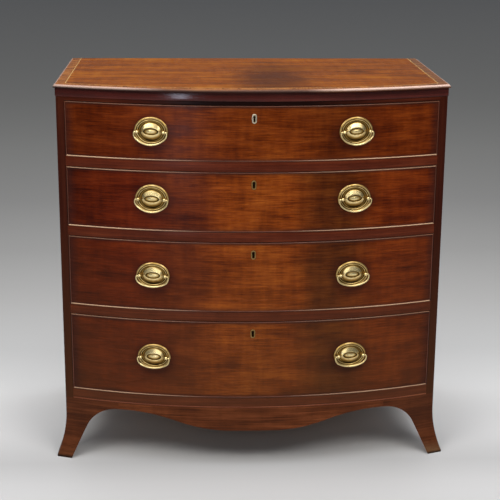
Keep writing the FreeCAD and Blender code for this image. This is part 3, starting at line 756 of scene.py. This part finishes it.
base_wood = wood(
    "veneered_mahogany_base", ("#3C1D0E", "#592D16", "#774124"), figure=(200.0, 30.0),
    streak=(150.0, 3.6), pore=(14.0, 1.3), contrast=1.25, gloss=0.32, shine=0.06, shade=feet_scuffs_and_light,
)
edge_round = 0.8
share = np.linspace(0, 1, 15)
x = np.linspace(-crown_x, crown_x, 121)[:, None]
foot_line = apron_edge(x)
z = foot_line + edge_round + share * (base_height - foot_line - edge_round)
low_edge = foot_line + edge_round * 0.3
front_face = stack(x, skin_y(x, z, 0.0), z)
back_face = stack(x, skin_y(x, z, bracket_thickness), z)[:, ::-1]
heel = stack(x, skin_y(x, foot_line, bracket_thickness), foot_line)
under = stack(x, skin_y(x, foot_line, edge_round), foot_line)
arris = stack(x, skin_y(x, foot_line, edge_round * 0.3), low_edge)
ring = np.concatenate([front_face, back_face, heel, under, arris, front_face[:, :1]], axis=1)
apron_map = stack(along_bow(x) + 530.0, ring[..., 2] - ring[..., 1] + bow_y(x))
make_piece("apron_board", "apron", [(ring, apron_map)], base_wood)

# Heights and inner edges of a foot, from the floor up: straight slope, curve, then the arch.
angles = np.linspace(slope, 0.0, 17)
curve_in = crown_x + curve_radius * np.sin(angles)
curve_z = arch_height - curve_radius + curve_radius * np.cos(angles)
straight_z = np.concatenate([[0.0, 0.6], np.linspace(toe_height, curve_z[0], 12)[:-1]])
straight_in = curve_in[0] + (curve_z[0] - straight_z) / math.tan(slope)
foot_z = np.concatenate([straight_z, curve_z, [base_height]])[:, None]
foot_in = np.concatenate([straight_in, curve_in, [crown_x]])[:, None]
foot_out = carcase_half + splay_at(foot_z)


def foot_board(name, node, hand, ring, grain_map):
    """Make one board of a foot from its ring of points at each height, on the side of hand."""
    make_piece(name, node, [(ring * [hand, 1, 1], grain_map)], base_wood)


def bracket(name, hand):
    """Front bracket of a foot: the bowed skin between the foot's inner edge and the corner."""
    x = foot_in + share * (foot_out - 0.9 - foot_in)
    corner_x = np.concatenate([foot_out - 0.26, foot_out], axis=1)
    back_x = (foot_in + share * (foot_out - foot_in))[:, ::-1]
    front = stack(x, skin_y(x, foot_z, 0.0), foot_z)
    corner = stack(corner_x, skin_y(corner_x, foot_z, np.array([0.26, 0.9])), foot_z)
    back = stack(back_x, skin_y(back_x, foot_z, bracket_thickness), foot_z)
    ring = np.concatenate([front, corner, back, front[:, :1]], axis=1)
    back_walk = 2 * foot_out - back_x + bracket_thickness
    walk = np.concatenate([x, corner_x, back_walk, x[:, :1]], axis=1)
    grain_map = stack(hand * walk, foot_z - ring[..., 1] + bow_y(ring[..., 0]))
    foot_board(name, "front_feet", hand, ring, grain_map)


def side_bracket(name, node, hand, forward):
    """Side bracket of a foot: the splayed side skin, from the foot's corner to its inner edge."""
    inn = foot_out - bracket_thickness
    reach = carcase_half - foot_in
    if forward:
        outer_start = skin_y(foot_out, foot_z, bracket_thickness)
        inner_start = skin_y(inn, foot_z, bracket_thickness)
        end = front_corner_y + reach
    else:
        outer_start = inner_start = side_back
        end = side_back - reach
    outer = stack(foot_out, outer_start + share * (end - outer_start), foot_z)
    inner = stack(inn, (inner_start + share * (end - inner_start))[:, ::-1], foot_z)
    ring = np.concatenate([outer, inner, outer[:, :1]], axis=1)
    foot_board(name, node, hand, ring, stack(ring[..., 1], foot_z - ring[..., 0]) + 400.0)


def rear_bracket(name, hand):
    """Rear bracket: a flat board between the foot's inner edge and the splayed side bracket."""
    x = foot_in + np.linspace(0, 1, 9) * (foot_out - bracket_thickness - foot_in)
    rear = stack(x, side_back, foot_z)
    front = stack(x[:, ::-1], side_back - bracket_thickness, foot_z)
    ring = np.concatenate([rear, front, rear[:, :1]], axis=1)
    grain_map = stack(hand * ring[..., 0], foot_z - ring[..., 1]) + 800.0
    foot_board(name, "back_feet", hand, ring, grain_map)


def side_apron(name, hand):
    """Rail between the side brackets: their splayed section at each height, drawn out along y."""
    z = np.linspace(arch_height, base_height, 9)
    out = carcase_half + splay_at(z)
    section_x = np.concatenate([out, out[::-1] - bracket_thickness, out[:1]])
    section_z = np.concatenate([z, z[::-1], z[:1]])
    reach = carcase_half - crown_x
    y, x = grid([front_corner_y + reach, side_back - reach], section_x)
    grain_map = stack(y + 400.0, section_z - x)
    foot_board(name, "side_aprons", hand, stack(x, y, section_z), grain_map)


for hand, label in hands:
    side_apron(f"side_apron_{label}", hand)
    bracket(f"front_foot_{label}", hand)
    side_bracket(f"front_foot_side_{label}", "front_feet", hand, True)
    side_bracket(f"back_foot_side_{label}", "back_feet", hand, False)
    rear_bracket(f"back_foot_{label}", hand)


# ======================================================================== Drawer fronts
# Each front is a bowed board of figured mahogany, French polished, with a keyhole pierced through
# it and a recess behind for the lock. Four cockbeads with rounded noses are let into its edges.
drawer_half = box_mm("drawer1_front")[1][0]
front_thickness = 24.0
bead_thickness = 3.0
bead_depth = 9.0
bead_proud = 2.0
bead_round = 1.35
keyhole_drop = 33.0
keyhole_radius = 3.1
keyhole_slot = 4.2
keyhole_half_height = 7.5
lock_case_half = 28.0
lock_case_height = 46.0
lock_plate_thickness = 1.5
handle_x = 265.0
handle_lifts = (3.0, 6.0, 2.0, 5.0)


def evenly(line, count):
    """Resample a closed outline to count points, the last equal to the first, evenly spaced."""
    walk = walked(line)
    at = np.linspace(0, walk[-1], count)
    return np.interp(at, walk, line[:, 0]), np.interp(at, walk, line[:, 1])


def keyhole_outline(middle_z=0.0):
    """Closed outline of a keyhole from its lowest point: a round hole above a narrow slot."""
    slot = keyhole_slot / 2
    foot = -keyhole_half_height
    meet = math.asin(slot / keyhole_radius)
    turn = np.linspace(-math.pi / 2 + meet, 3 * math.pi / 2 - meet, 33)
    hole_z = keyhole_half_height - keyhole_radius
    x = np.concatenate([[0.0, slot], keyhole_radius * np.cos(turn), [-slot, 0.0]])
    z = np.concatenate([[foot, foot], hole_z + keyhole_radius * np.sin(turn), [foot, foot]])
    return stack(x, z + middle_z)


def front_sheen_and_shade(tree, colour):
    """Painted light on a drawer front, multiplied into its colour: a painted sheen makes the middle
    pale and golden, painted reflections darken the wood on the inner side of each handle, and
    painted shade darkens the ends and the corners against the beads. Round each plate a dark halo
    is partly dirt and partly painted shade. place holds the distance along the bow and the height
    over the handles; edges holds the distances from the nearer end and from the nearer long edge."""
    parts = measures(tree, "place")
    grain = add(tree, "UVMap", uv_map="grain")
    # clouds 150 mm across shift the tint's borders by up to 30 mm
    cloud = add(tree, "TexNoise", {"Vector": grain, "Scale": 1 / (150 * MM), "Detail": 3.0})
    drift = add(
        tree, "MapRange",
        {"Value": cloud, "From Min": 0.3, "From Max": 0.7, "To Min": -0.03, "To Max": 0.03},
    )
    drifted = add(tree, "Math", {0: parts["X"], 1: drift})
    zone = add(tree, "MapRange", {"Value": drifted, "From Min": -0.5, "From Max": 0.5})
    # painted sheen across the front: pale in the middle, with dark painted reflections on the inner
    # side of each handle
    painted_sheen_tints = [
        (0.0, "#937182"), (0.06, "#A57B7D"), (0.20, "#AD7E7B"), (0.28, "#B499A5"),
        (0.34, "#B8A1B4"), (0.42, "#ECE0D2"), (0.52, "#F3F0EA"), (0.60, "#E4D8CB"),
        (0.67, "#A3A0A6"), (0.74, "#A09DA0"), (0.84, "#CAAC9A"), (1.0, "#BC9B96"),
    ]
    tint = add(tree, "ValToRGB", {0: zone}, stops=painted_sheen_tints)
    # painted shade: the top drawer, in the shade of the top, gets a flatter, more even painted
    # sheen
    tint = weathered(tree, tint, "#BAA598", measures(tree)["Z"], (0.83, 0.85), (0.0, 0.6))
    colour = add(tree, "Mix", {0: 1.0, 6: colour, 7: tint}, output=2, data_type="RGBA",
                 blend_type="MULTIPLY")
    colour = browner_below(tree, colour)
    # soft dark halo 20 mm wide round each plate, stronger below it: dirt, and painted shade under
    # the plate
    out = add(tree, "Math", {0: parts["X"]}, operation="ABSOLUTE")
    aside = add(tree, "Math", {0: out, 1: handle_x * MM}, operation="SUBTRACT")
    spot = add(tree, "CombineXYZ", {0: aside, 1: parts["Y"]})
    lowered = {0: spot, "Location": (0.0, 0.007, 0.0), "Scale": (1.0, 1.18, 1.0)}
    spot = add(tree, "Mapping", lowered)
    reach = add(tree, "VectorMath", {0: spot}, output="Value", operation="LENGTH")
    edges = measures(tree, "edges")
    # the halo, then painted shade along the ends and against the beads
    for darkening, measure, span, strength in (
        ("#2A0E0A", reach, (0.044, 0.070), 0.45),
        ("#2B1512", edges["X"], (0.0, 0.028), 0.60),
        ("#2B1512", edges["Y"], (0.0, 0.009), 0.50),
    ):
        colour = weathered(tree, colour, darkening, measure, span, (strength, 0.0),
                           interpolation_type="SMOOTHSTEP")
    return colour


drawer_wood = wood(
    "french_polished_mahogany", ("#511E05", "#7E3A0D", "#A15519"), figure=(170.0, 40.0),
    streak=(60.0, 2.8), pore=(16.0, 1.3), pore_depth=0.42, contrast=1.3, ribbon=0.16, gloss=0.26,
    shine=0.08, shade=front_sheen_and_shade,
)


def drawer_front(number, z0, z1):
    """Bowed front: a section of (depth, height), its face and its full height behind the rebates
    for the beads, carried along the bow. At the ends the face steps back behind the side beads.
    The keyhole and the recesses for the lock's plate and case are cut out."""
    inner = drawer_half - bead_thickness
    low = z0 + bead_thickness
    high = z1 - bead_thickness
    levels = np.linspace(low, high, 9)
    heights = np.concatenate([levels, [high, z1, z1], levels[::-1], [z0, z0, low, low]])
    rebate = [bead_depth] * 2
    depths = np.concatenate([np.zeros(9), rebate, [front_thickness] * 11, rebate, [0.0]])
    stations = np.linspace(-inner, inner, 97)
    stations = np.concatenate([[-drawer_half, -inner], stations, [inner, drawer_half]])
    x, depths = grid(stations, depths)
    depths[[0, 1, -2, -1]] = np.maximum(depths[0], bead_depth)
    ring = stack(x, bow_y(x, -depths), heights)
    run = along_bow(x)
    grain_map = stack(run + 1700.0 * number, heights + ring[..., 1] - bow_y(x))
    place_map = stack(run, heights - (z0 + z1) / 2 - handle_lifts[number - 1])
    edge_map = stack(along_bow(inner) - np.abs(run), np.minimum(heights - low, high - heights))
    name = f"drawer{number}"
    board = make_piece(
        name + "_front_board", name + "_front", [(ring, grain_map, place_map, edge_map)],
        drawer_wood, name, maps=("grain", "place", "edges"),
    )
    lock_lo, lock_hi = box_mm(name + "_lock")
    behind = bow_y(0.0, -front_thickness) + beyond
    plate = rectangle(lock_lo[0], lock_hi[0], lock_lo[2], z1 + beyond)
    case = rectangle(-lock_case_half, lock_case_half, z1 - lock_case_height, z1 + beyond)
    cut_out(board, [
        (keyhole_outline(z1 - keyhole_drop), bow_y(0.0) - beyond, behind),
        (plate, lock_hi[1] - lock_plate_thickness, behind),
        (case, lock_lo[1], behind),
    ])


def painted_nose_highlight(tree, colour):
    """Painted highlight on the nose of a bead: X of its UV map is how far a point is on the nose,
    0 to 1, times how strong the highlight is there.
    """
    rubbed = {0: measures(tree, "wear_and_light")["X"], 6: colour, 7: "#C29D7D"}
    return add(tree, "Mix", rubbed, output=2, data_type="RGBA")


# The beads are mahogany too, with a painted highlight on their round noses towards the ends: from
# nose_start away from nose_middle outwards, fully after nose_run more. The table of the beads says
# how strong the painted highlight is on the lower and the upper bead of each drawer, from the top
# drawer down.
cockbead_wood = wood(
    "mahogany_cockbead", ("#36150C", "#4C2214", "#653322"), figure=(160.0, 12.0),
    streak=(200.0, 3.0), gloss=0.2, shine=0.25, shade=painted_nose_highlight,
)
nose_middle, nose_start, nose_run = -20.0, 110.0, 220.0
bead_highlights = ((0.94, 0.05), (1.0, 0.42), (0.88, 0.11), (0.66, 0.24))


def cockbeads(number, z0, z1):
    """Beads round the front, mitred at the corners: a nosed section of (distance in from the
    edge, proud) carried along the bottom, top, left and right edges."""
    section = rounded(
        [(0.0, -bead_depth), (0.0, bead_proud), (bead_thickness, bead_proud),
         (bead_thickness, -bead_depth)],
        [0, bead_round, bead_round, 0], steps=6,
    )
    inset, proud = section.T
    half = drawer_half - inset
    low = z0 + inset
    high = z1 - inset
    walk = walked(section)
    nose = np.clip((proud - 0.2) / 1.5, 0, 1)
    share = np.linspace(-1, 1, 97)[:, None]
    x = share * half
    off_middle = np.abs(share * drawer_half - nose_middle)
    ends = np.clip((off_middle - nose_start) / nose_run, 0.0, 1.0)
    patches = []
    for level, rubbed in zip((low, high), bead_highlights[number - 1]):
        points = stack(x, bow_y(x, proud), level)
        patches.append((points, stack(along_bow(x), walk), stack(nose * (0.05 + rubbed * ends), 0)))
    z = low + np.linspace(0, 1, 13)[:, None] * (high - low)
    for hand in (-1, 1):
        points = stack(hand * half, bow_y(half, proud), z)
        patches.append((points, stack(z + 500.0 * hand, walk), stack(0.03 * nose, 0 * z)))
    name = f"drawer{number}"
    make_piece(name + "_beads", name + "_cockbead", patches, cockbead_wood, name,
               sharp=50.0, maps=("grain", "wear_and_light"))


for number, (low, high) in enumerate(drawer_boxes, start=1):
    drawer_front(number, low[2], high[2])
    cockbeads(number, low[2], high[2])


# ======================================================================== Escutcheons
# A brass plate with rounded ends round each keyhole, let in and standing a little proud, pierced
# with the keyhole. The top one is of a paler, brighter brass than the other three.
def metal(name, colours, gloss, spot=6.0, worn=True):
    """Polished cast metal, Metallic with the default IOR. colours run from the dark of the
    hollows that a cloth misses to the light of rubbed edges. X of the UV map is how deep a point
    lies in a hollow, 0 to 1, and on the handle plates and the escutcheons it also holds painted
    shade; spot is the size in millimetres of the tarnish spots."""
    material, tree = blank_material(name)
    place = add(tree, "TexCoord", output="Object")
    spots = add(tree, "TexNoise", {"Vector": place, "Scale": 1 / (spot * MM), "Detail": 5.0})
    depth = spots
    if worn:
        depth = add(tree, "Mix", {0: 0.30, 2: measures(tree, "wear_and_light")["X"], 3: spots})
    dark, middle, light = colours
    tones = [(0.14, light), (0.40, middle), (0.80, dark)]
    colour = add(tree, "ValToRGB", {0: depth}, stops=tones)
    rough = add(
        tree, "MapRange",
        {"Value": depth, "From Min": 0.15, "From Max": 0.7, "To Min": gloss,
         "To Max": gloss + 0.28},
    )
    relief = add(tree, "Bump", {"Strength": 0.12, "Distance": 0.05 * MM, "Height": spots})
    finish = add(
        tree, "BsdfPrincipled",
        {"Base Color": colour, "Metallic": 1.0, "Roughness": rough, "Normal": relief},
    )
    add(tree, "OutputMaterial", {"Surface": finish})
    return material


bright_brass = metal("bright_worn_brass", ("#7A6038", "#CDBE9E", "#F2E8D2"), 0.20)
dull_brass = metal("tarnished_brass", ("#241607", "#6A4C26", "#A58A5A"), 0.34, spot=3.0)
escutcheon_radius = 6.5
escutcheon_half_height = 12.5


def escutcheon(number, middle_z):
    """Escutcheon: rings from its outer edge over a softly dished face to the keyhole's wall. Each
    ring is a weighted mean of the outer outline and the keyhole's outline, a distance out of the
    wood, and so deep in a hollow; towards the keyhole and down its wall that depth is painted
    shade."""
    half, end = escutcheon_radius, escutcheon_half_height
    corners = [(half, -end), (half, end), (-half, end), (-half, -end)]
    outer_x, outer_z = evenly(rounded(corners, [half] * 4, steps=12), 73)
    inner_x, inner_z = evenly(keyhole_outline(), 73)
    share = np.array([0.0, 0.0, 0.08, 0.25, 0.55, 0.82, 0.95, 1.0, 1.0, 0.0])[:, None]
    out = np.array([-1.0, 0.3, 0.75, 0.9, 0.72, 0.86, 0.80, 0.5, -1.0, -1.0])[:, None]
    # the inner slope and the keyhole's wall are dark as painted shade
    hollow = np.array([0.9, 0.8, 0.35, 0.05, 0.2, 0.6, 0.9, 1.0, 1.0, 0.9])[:, None]
    x = outer_x + share * (inner_x - outer_x)
    z = outer_z + share * (inner_z - outer_z) + middle_z
    wear_and_light = stack(hollow + 0 * x, share)
    name = f"drawer{number}"
    make_piece(name + "_keyhole_plate", name + "_escutcheon", [(stack(x, bow_y(x) - out, z), wear_and_light)],
               bright_brass if number == 1 else dull_brass, name, maps=("wear_and_light",))


for number, (low, high) in enumerate(drawer_boxes, start=1):
    escutcheon(number, high[2] - keyhole_drop)


# ======================================================================== Handles
# Stamped brass: a thin oval plate with a rolled rim, a groove with a fine bead, and a domed boss
# with a sunk dish; two cast posts with ball heads and nuts; a cast bail that swings in the posts.
handle_brass = metal("old_lacquered_brass", ("#2C1C08", "#A98442", "#F3DDA2"), 0.27, spot=14.0)
post_x = 34.75
post_stand = 13.0


def on_front(points, x, z):
    """Set points made about a handle's middle (x along the plate, -y outwards) on the bow: turn
    them square to the bow at x, then move them there."""
    angle = math.asin(x / bow_radius)
    along, back, up = np.moveaxis(points, -1, 0)
    turned_x = along * math.cos(angle) - back * math.sin(angle)
    turned_y = along * math.sin(angle) + back * math.cos(angle)
    return stack(turned_x + x, turned_y + bow_y(x), up + z)


def plate_profile(half_z):
    """Rings of the stamping from the edge to the middle: half width, half height, height, hollow.
    The rings between the named ones follow a Catmull-Rom curve through all four numbers."""
    rim = [
        (45.0, 0.0, 0.0, 0.8), (45.0, 0.0, 0.7, 0.5), (44.3, 0.7, 2.0, 0.3),
        (42.6, 2.4, 3.0, 0.28), (40.8, 4.2, 2.8, 0.22), (39.4, 5.6, 1.9, 0.8),
        (38.4, 6.6, 1.5, 1.0), (37.2, 7.6, 2.3, 0.2), (36.0, 8.6, 2.1, 0.2),
        (34.9, 9.5, 1.3, 0.9), (33.6, 10.2, 1.2, 0.9), (30.0, 10.7, 1.4, 0.5),
    ]
    boss = [
        (27.8, 24.0, 1.5, 1.0), (27.0, 22.8, 2.0, 0.5), (25.8, 20.0, 3.1, 0.05),
        (24.4, 17.0, 4.2, 0.0), (22.9, 14.0, 5.3, 0.0), (21.5, 11.4, 6.2, 0.0),
        (20.5, 9.6, 6.4, 0.1), (19.6, 8.6, 5.6, 0.9), (18.2, 7.4, 4.7, 0.9),
        (14.5, 5.6, 4.4, 0.4), (11.0, 4.0, 4.8, 0.1), (6.0, 2.0, 5.5, 0.0),
        (0.01, 0.01, 5.6, 0.0),
    ]
    # the second number of the rim is how far it lies in from the plate's top and bottom
    rim = np.array(rim) * [1, -1, 1, 1] + [0, half_z, 0, 0]
    keys = np.concatenate([rim, boss])
    before = np.concatenate([keys[:1], keys[:-2]])[:, None]
    start, end = keys[:-1, None], keys[1:, None]
    after = np.concatenate([keys[2:], keys[-1:]])[:, None]
    share = np.linspace(0, 1, 4, endpoint=False)[None, :, None]
    rings = start + share / 2 * (
        end - before
        + share * (2 * before - 5 * start + 4 * end - after)
        + share**2 * (3 * start - before - 3 * end + after)
    )
    rings = np.concatenate([rings.reshape(-1, 4), keys[-1:]])
    rings[:, 2:] = np.clip(rings[:, 2:], 0.0, [6.5, 1.0])
    return rings


def handle_plate(half_z):
    """Oval stamping: the profile's rings, each an ellipse, and a flat back."""
    half_x, half_up, height, hollow = plate_profile(half_z).T[..., None]
    angle = np.linspace(0, 2 * math.pi, 97)
    face = stack(half_x * np.cos(angle), -height, half_up * np.sin(angle))
    # painted shade on the boss's lower slope, darkest straight below its middle
    slope = np.interp(half_up, [12.0, 16.0, 20.0, 23.0, 24.5, 26.5], [0, 0.3, 0.7, 1, 0.9, 0])
    hollow = np.maximum(hollow, slope * np.clip(-np.sin(angle), 0.0, 1.0))
    back = np.stack([face[0] * [1, 0, 1], face[0] * [0.02, 0, 0.02]])
    return [(face, stack(hollow, height / 5)), (back, np.full((2, 97, 2), 0.9))]


def handle_post():
    """Turned post with a ball head: radius against distance out of the wood, swept round."""
    ball = 4.7
    lean = np.linspace(-math.pi / 2 + 0.75, math.pi / 2, 14)
    neck_out = [0.9, 1.2, 3.0, 4.2, 5.0, 5.6, 7.0, 8.4]
    neck_radius = [4.2, 4.2, 4.2, 3.7, 3.0, 2.9, 2.9, 3.1]
    out = np.concatenate([neck_out, post_stand + ball * np.sin(lean)])
    radius = np.concatenate([neck_radius, ball * np.cos(lean)])
    radius[-1] = 0.01
    hollow = np.interp(out, [0.0, 3.0, 5.5, 8.0, 10.0, 14.0], [0.9, 0.3, 0.9, 0.8, 0.2, 0.0])
    angle = np.linspace(0, 2 * math.pi, 25)[:, None]
    points = stack(radius * np.cos(angle), -out, radius * np.sin(angle))
    return points, stack(hollow, out / 20) + 0 * points[..., :2]


def nut():
    """Square nut behind the front with softened corners."""
    half = 4.5
    corners = [(-half, -half), (half, -half), (half, half), (-half, half)]
    section = rounded(corners, [0.8] * 4, steps=2)
    depth = np.array([24.6, 24.9, 27.3, 27.6])[:, None]
    grow = np.array([0.93, 1.0, 1.0, 0.93])[:, None]
    points = stack(grow * section[:, 0], depth, grow * section[:, 1])
    return points, np.full((*points.shape[:2], 2), 0.6)


def shaft():
    """Threaded end of a post, from the wood to behind its nut."""
    along = np.array([20.0, 31.2, 31.6])[:, None]
    radius = np.array([2.4, 2.4, 2.0])[:, None]
    angle = np.linspace(0, 2 * math.pi, 13)
    points = stack(radius * np.cos(angle), along, radius * np.sin(angle))
    return points, np.full((*points.shape[:2], 2), 0.6)


def bail(drop):
    """Swinging bail: pins, shoulders, straight arms, round corners and a shallow bottom, as one
    line of tangent arcs, carried with a round section that is thickest at the bottom."""
    straight = 4.0
    corner = 20.0
    bend = 3.4
    half = 43.4
    corner_x = half - corner
    low = drop - straight
    bottom = (corner_x**2 + low**2 - corner**2) / (2 * (low - corner))
    bottom_z = bottom - drop
    lean = math.atan2(corner_x, bottom_z + straight)
    pin = stack(np.linspace(post_x - 3.0, half - bend, 5), 0.0)
    swing = np.linspace(math.pi / 2, 0, 8)
    shoulder = stack(half - bend + bend * np.cos(swing), -bend + bend * np.sin(swing))
    swing = np.linspace(0, math.pi / 2 - lean, 14)
    side = stack(corner_x + corner * np.cos(swing), -straight - corner * np.sin(swing))
    swing = np.linspace(lean, 0, 10)
    foot = stack(bottom * np.sin(swing), bottom_z - bottom * np.cos(swing))
    line = np.concatenate([pin[:-1], shoulder, side, foot[1:]])
    line = np.concatenate([line, (line * [-1, 1])[::-1][1:]])
    ahead = np.gradient(line, axis=0)
    ahead /= np.linalg.norm(ahead, axis=1)[:, None]
    normal = np.stack([-ahead[:, 1], ahead[:, 0]], -1)
    walk = walked(line)
    middle = 1 - np.abs(walk / walk[-1] - 0.5) * 2
    radius = np.interp(middle, [0.0, 0.07, 0.13, 0.2, 0.6, 1.0], [1.6, 1.65, 2.3, 2.0, 2.4, 2.6])
    angle = np.linspace(0, 2 * math.pi, 17)
    across = np.cos(angle) * radius[:, None]
    outward = np.sin(angle) * radius[:, None]
    points = stack(
        line[:, :1] + across * normal[:, :1], -post_stand - outward,
        line[:, 1:] + across * normal[:, 1:],
    )
    return points, stack(0.35 - 0.35 * np.sin(angle), walk[:, None])


plate_half_heights = (38.0, 38.0, 35.0, 35.0)
bail_drops = (33.4, 33.4, 29.4, 29.4)
for number, (low, high) in enumerate(drawer_boxes, start=1):
    name = f"drawer{number}"
    handle_z = (low[2] + high[2]) / 2 + handle_lifts[number - 1]
    plate = handle_plate(plate_half_heights[number - 1])
    swinging = bail(bail_drops[number - 1])
    fixings = [
        (points + [shift, 0.0, 0.0], wear_and_light)
        for shift in (-post_x, post_x)
        for points, wear_and_light in (handle_post(), nut(), shaft())
    ]
    for hand, label in hands:
        bail_node = f"{name}_bail_{label}"
        for piece_name, node, patches, body in (
            (f"{name}_plate_{label}", name + "_plates", plate, name),
            (f"{name}_posts_{label}", name + "_posts", fixings, name),
            (bail_node + "_rod", bail_node, [swinging], bail_node),
        ):
            placed = [
                (on_front(points, hand * handle_x, handle_z), wear_and_light) for points, wear_and_light in patches
            ]
            make_piece(piece_name, node, placed, handle_brass, body, sharp=60.0,
                       maps=("wear_and_light",))


# ======================================================================== Inside and behind
# Oak linings and bottoms in the drawers; pine boards, runners and blocks in the carcase, all left
# bare and darkened by dust; iron locks.
back_lo, back_hi = box_mm("back_boards")
joint_x = (back_hi[0] - back_lo[0]) / 6  # half of one of the three boards


def jointed_boards(tree, colour):
    """Three upright boards side by side: dust lies dark in the two joints between them, and the
    middle board is a little lighter."""
    out = add(tree, "Math", {0: measures(tree)["X"]}, operation="ABSOLUTE")
    aside = add(tree, "Math", {0: out, 1: joint_x * MM}, operation="SUBTRACT")
    colour = weathered(tree, colour, "#A97F4E", aside, (0.0, 0.0005), (0.22, 0.0))
    aside = add(tree, "Math", {0: aside}, operation="ABSOLUTE")
    return weathered(tree, colour, "#1E140C", aside, (0.0007, 0.004), (0.85, 0.0))


back_pine = wood(
    "bare_pine_back_boards", ("#5A3A1E", "#7E5730", "#A1784A"), grain="Z", figure=(500.0, 70.0),
    streak=(340.0, 7.0), gloss=0.7, shine=0.08, shade=jointed_boards,
)
oak = wood("bare_oak", ("#83603A", "#A17A4F", "#BB9568"), grain="Y", gloss=0.6, shine=0.3)
pine = wood("bare_dusty_pine", ("#573820", "#75502F", "#906A43"), grain="X", gloss=0.7, shine=0.2)
lock_iron = metal("lock_iron", ("#1F1B18", "#403A35", "#6F6860"), 0.38, spot=4.0, worn=False)
inside = {
    "linings": oak,
    "bottom": oak,
    "lock": lock_iron,
    "bolt": lock_iron,
    "back_boards": back_pine,
    "runners": pine,
    "bottom_and_dustboards": pine,
    "drawer_stops": pine,
    "glue_blocks": pine,
}
for node_name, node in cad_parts.items():
    material = inside.get(node_name) or inside.get(node_name.partition("_")[2])
    if material:
        for slot_place in node.material_slots:
            slot_place.material = material
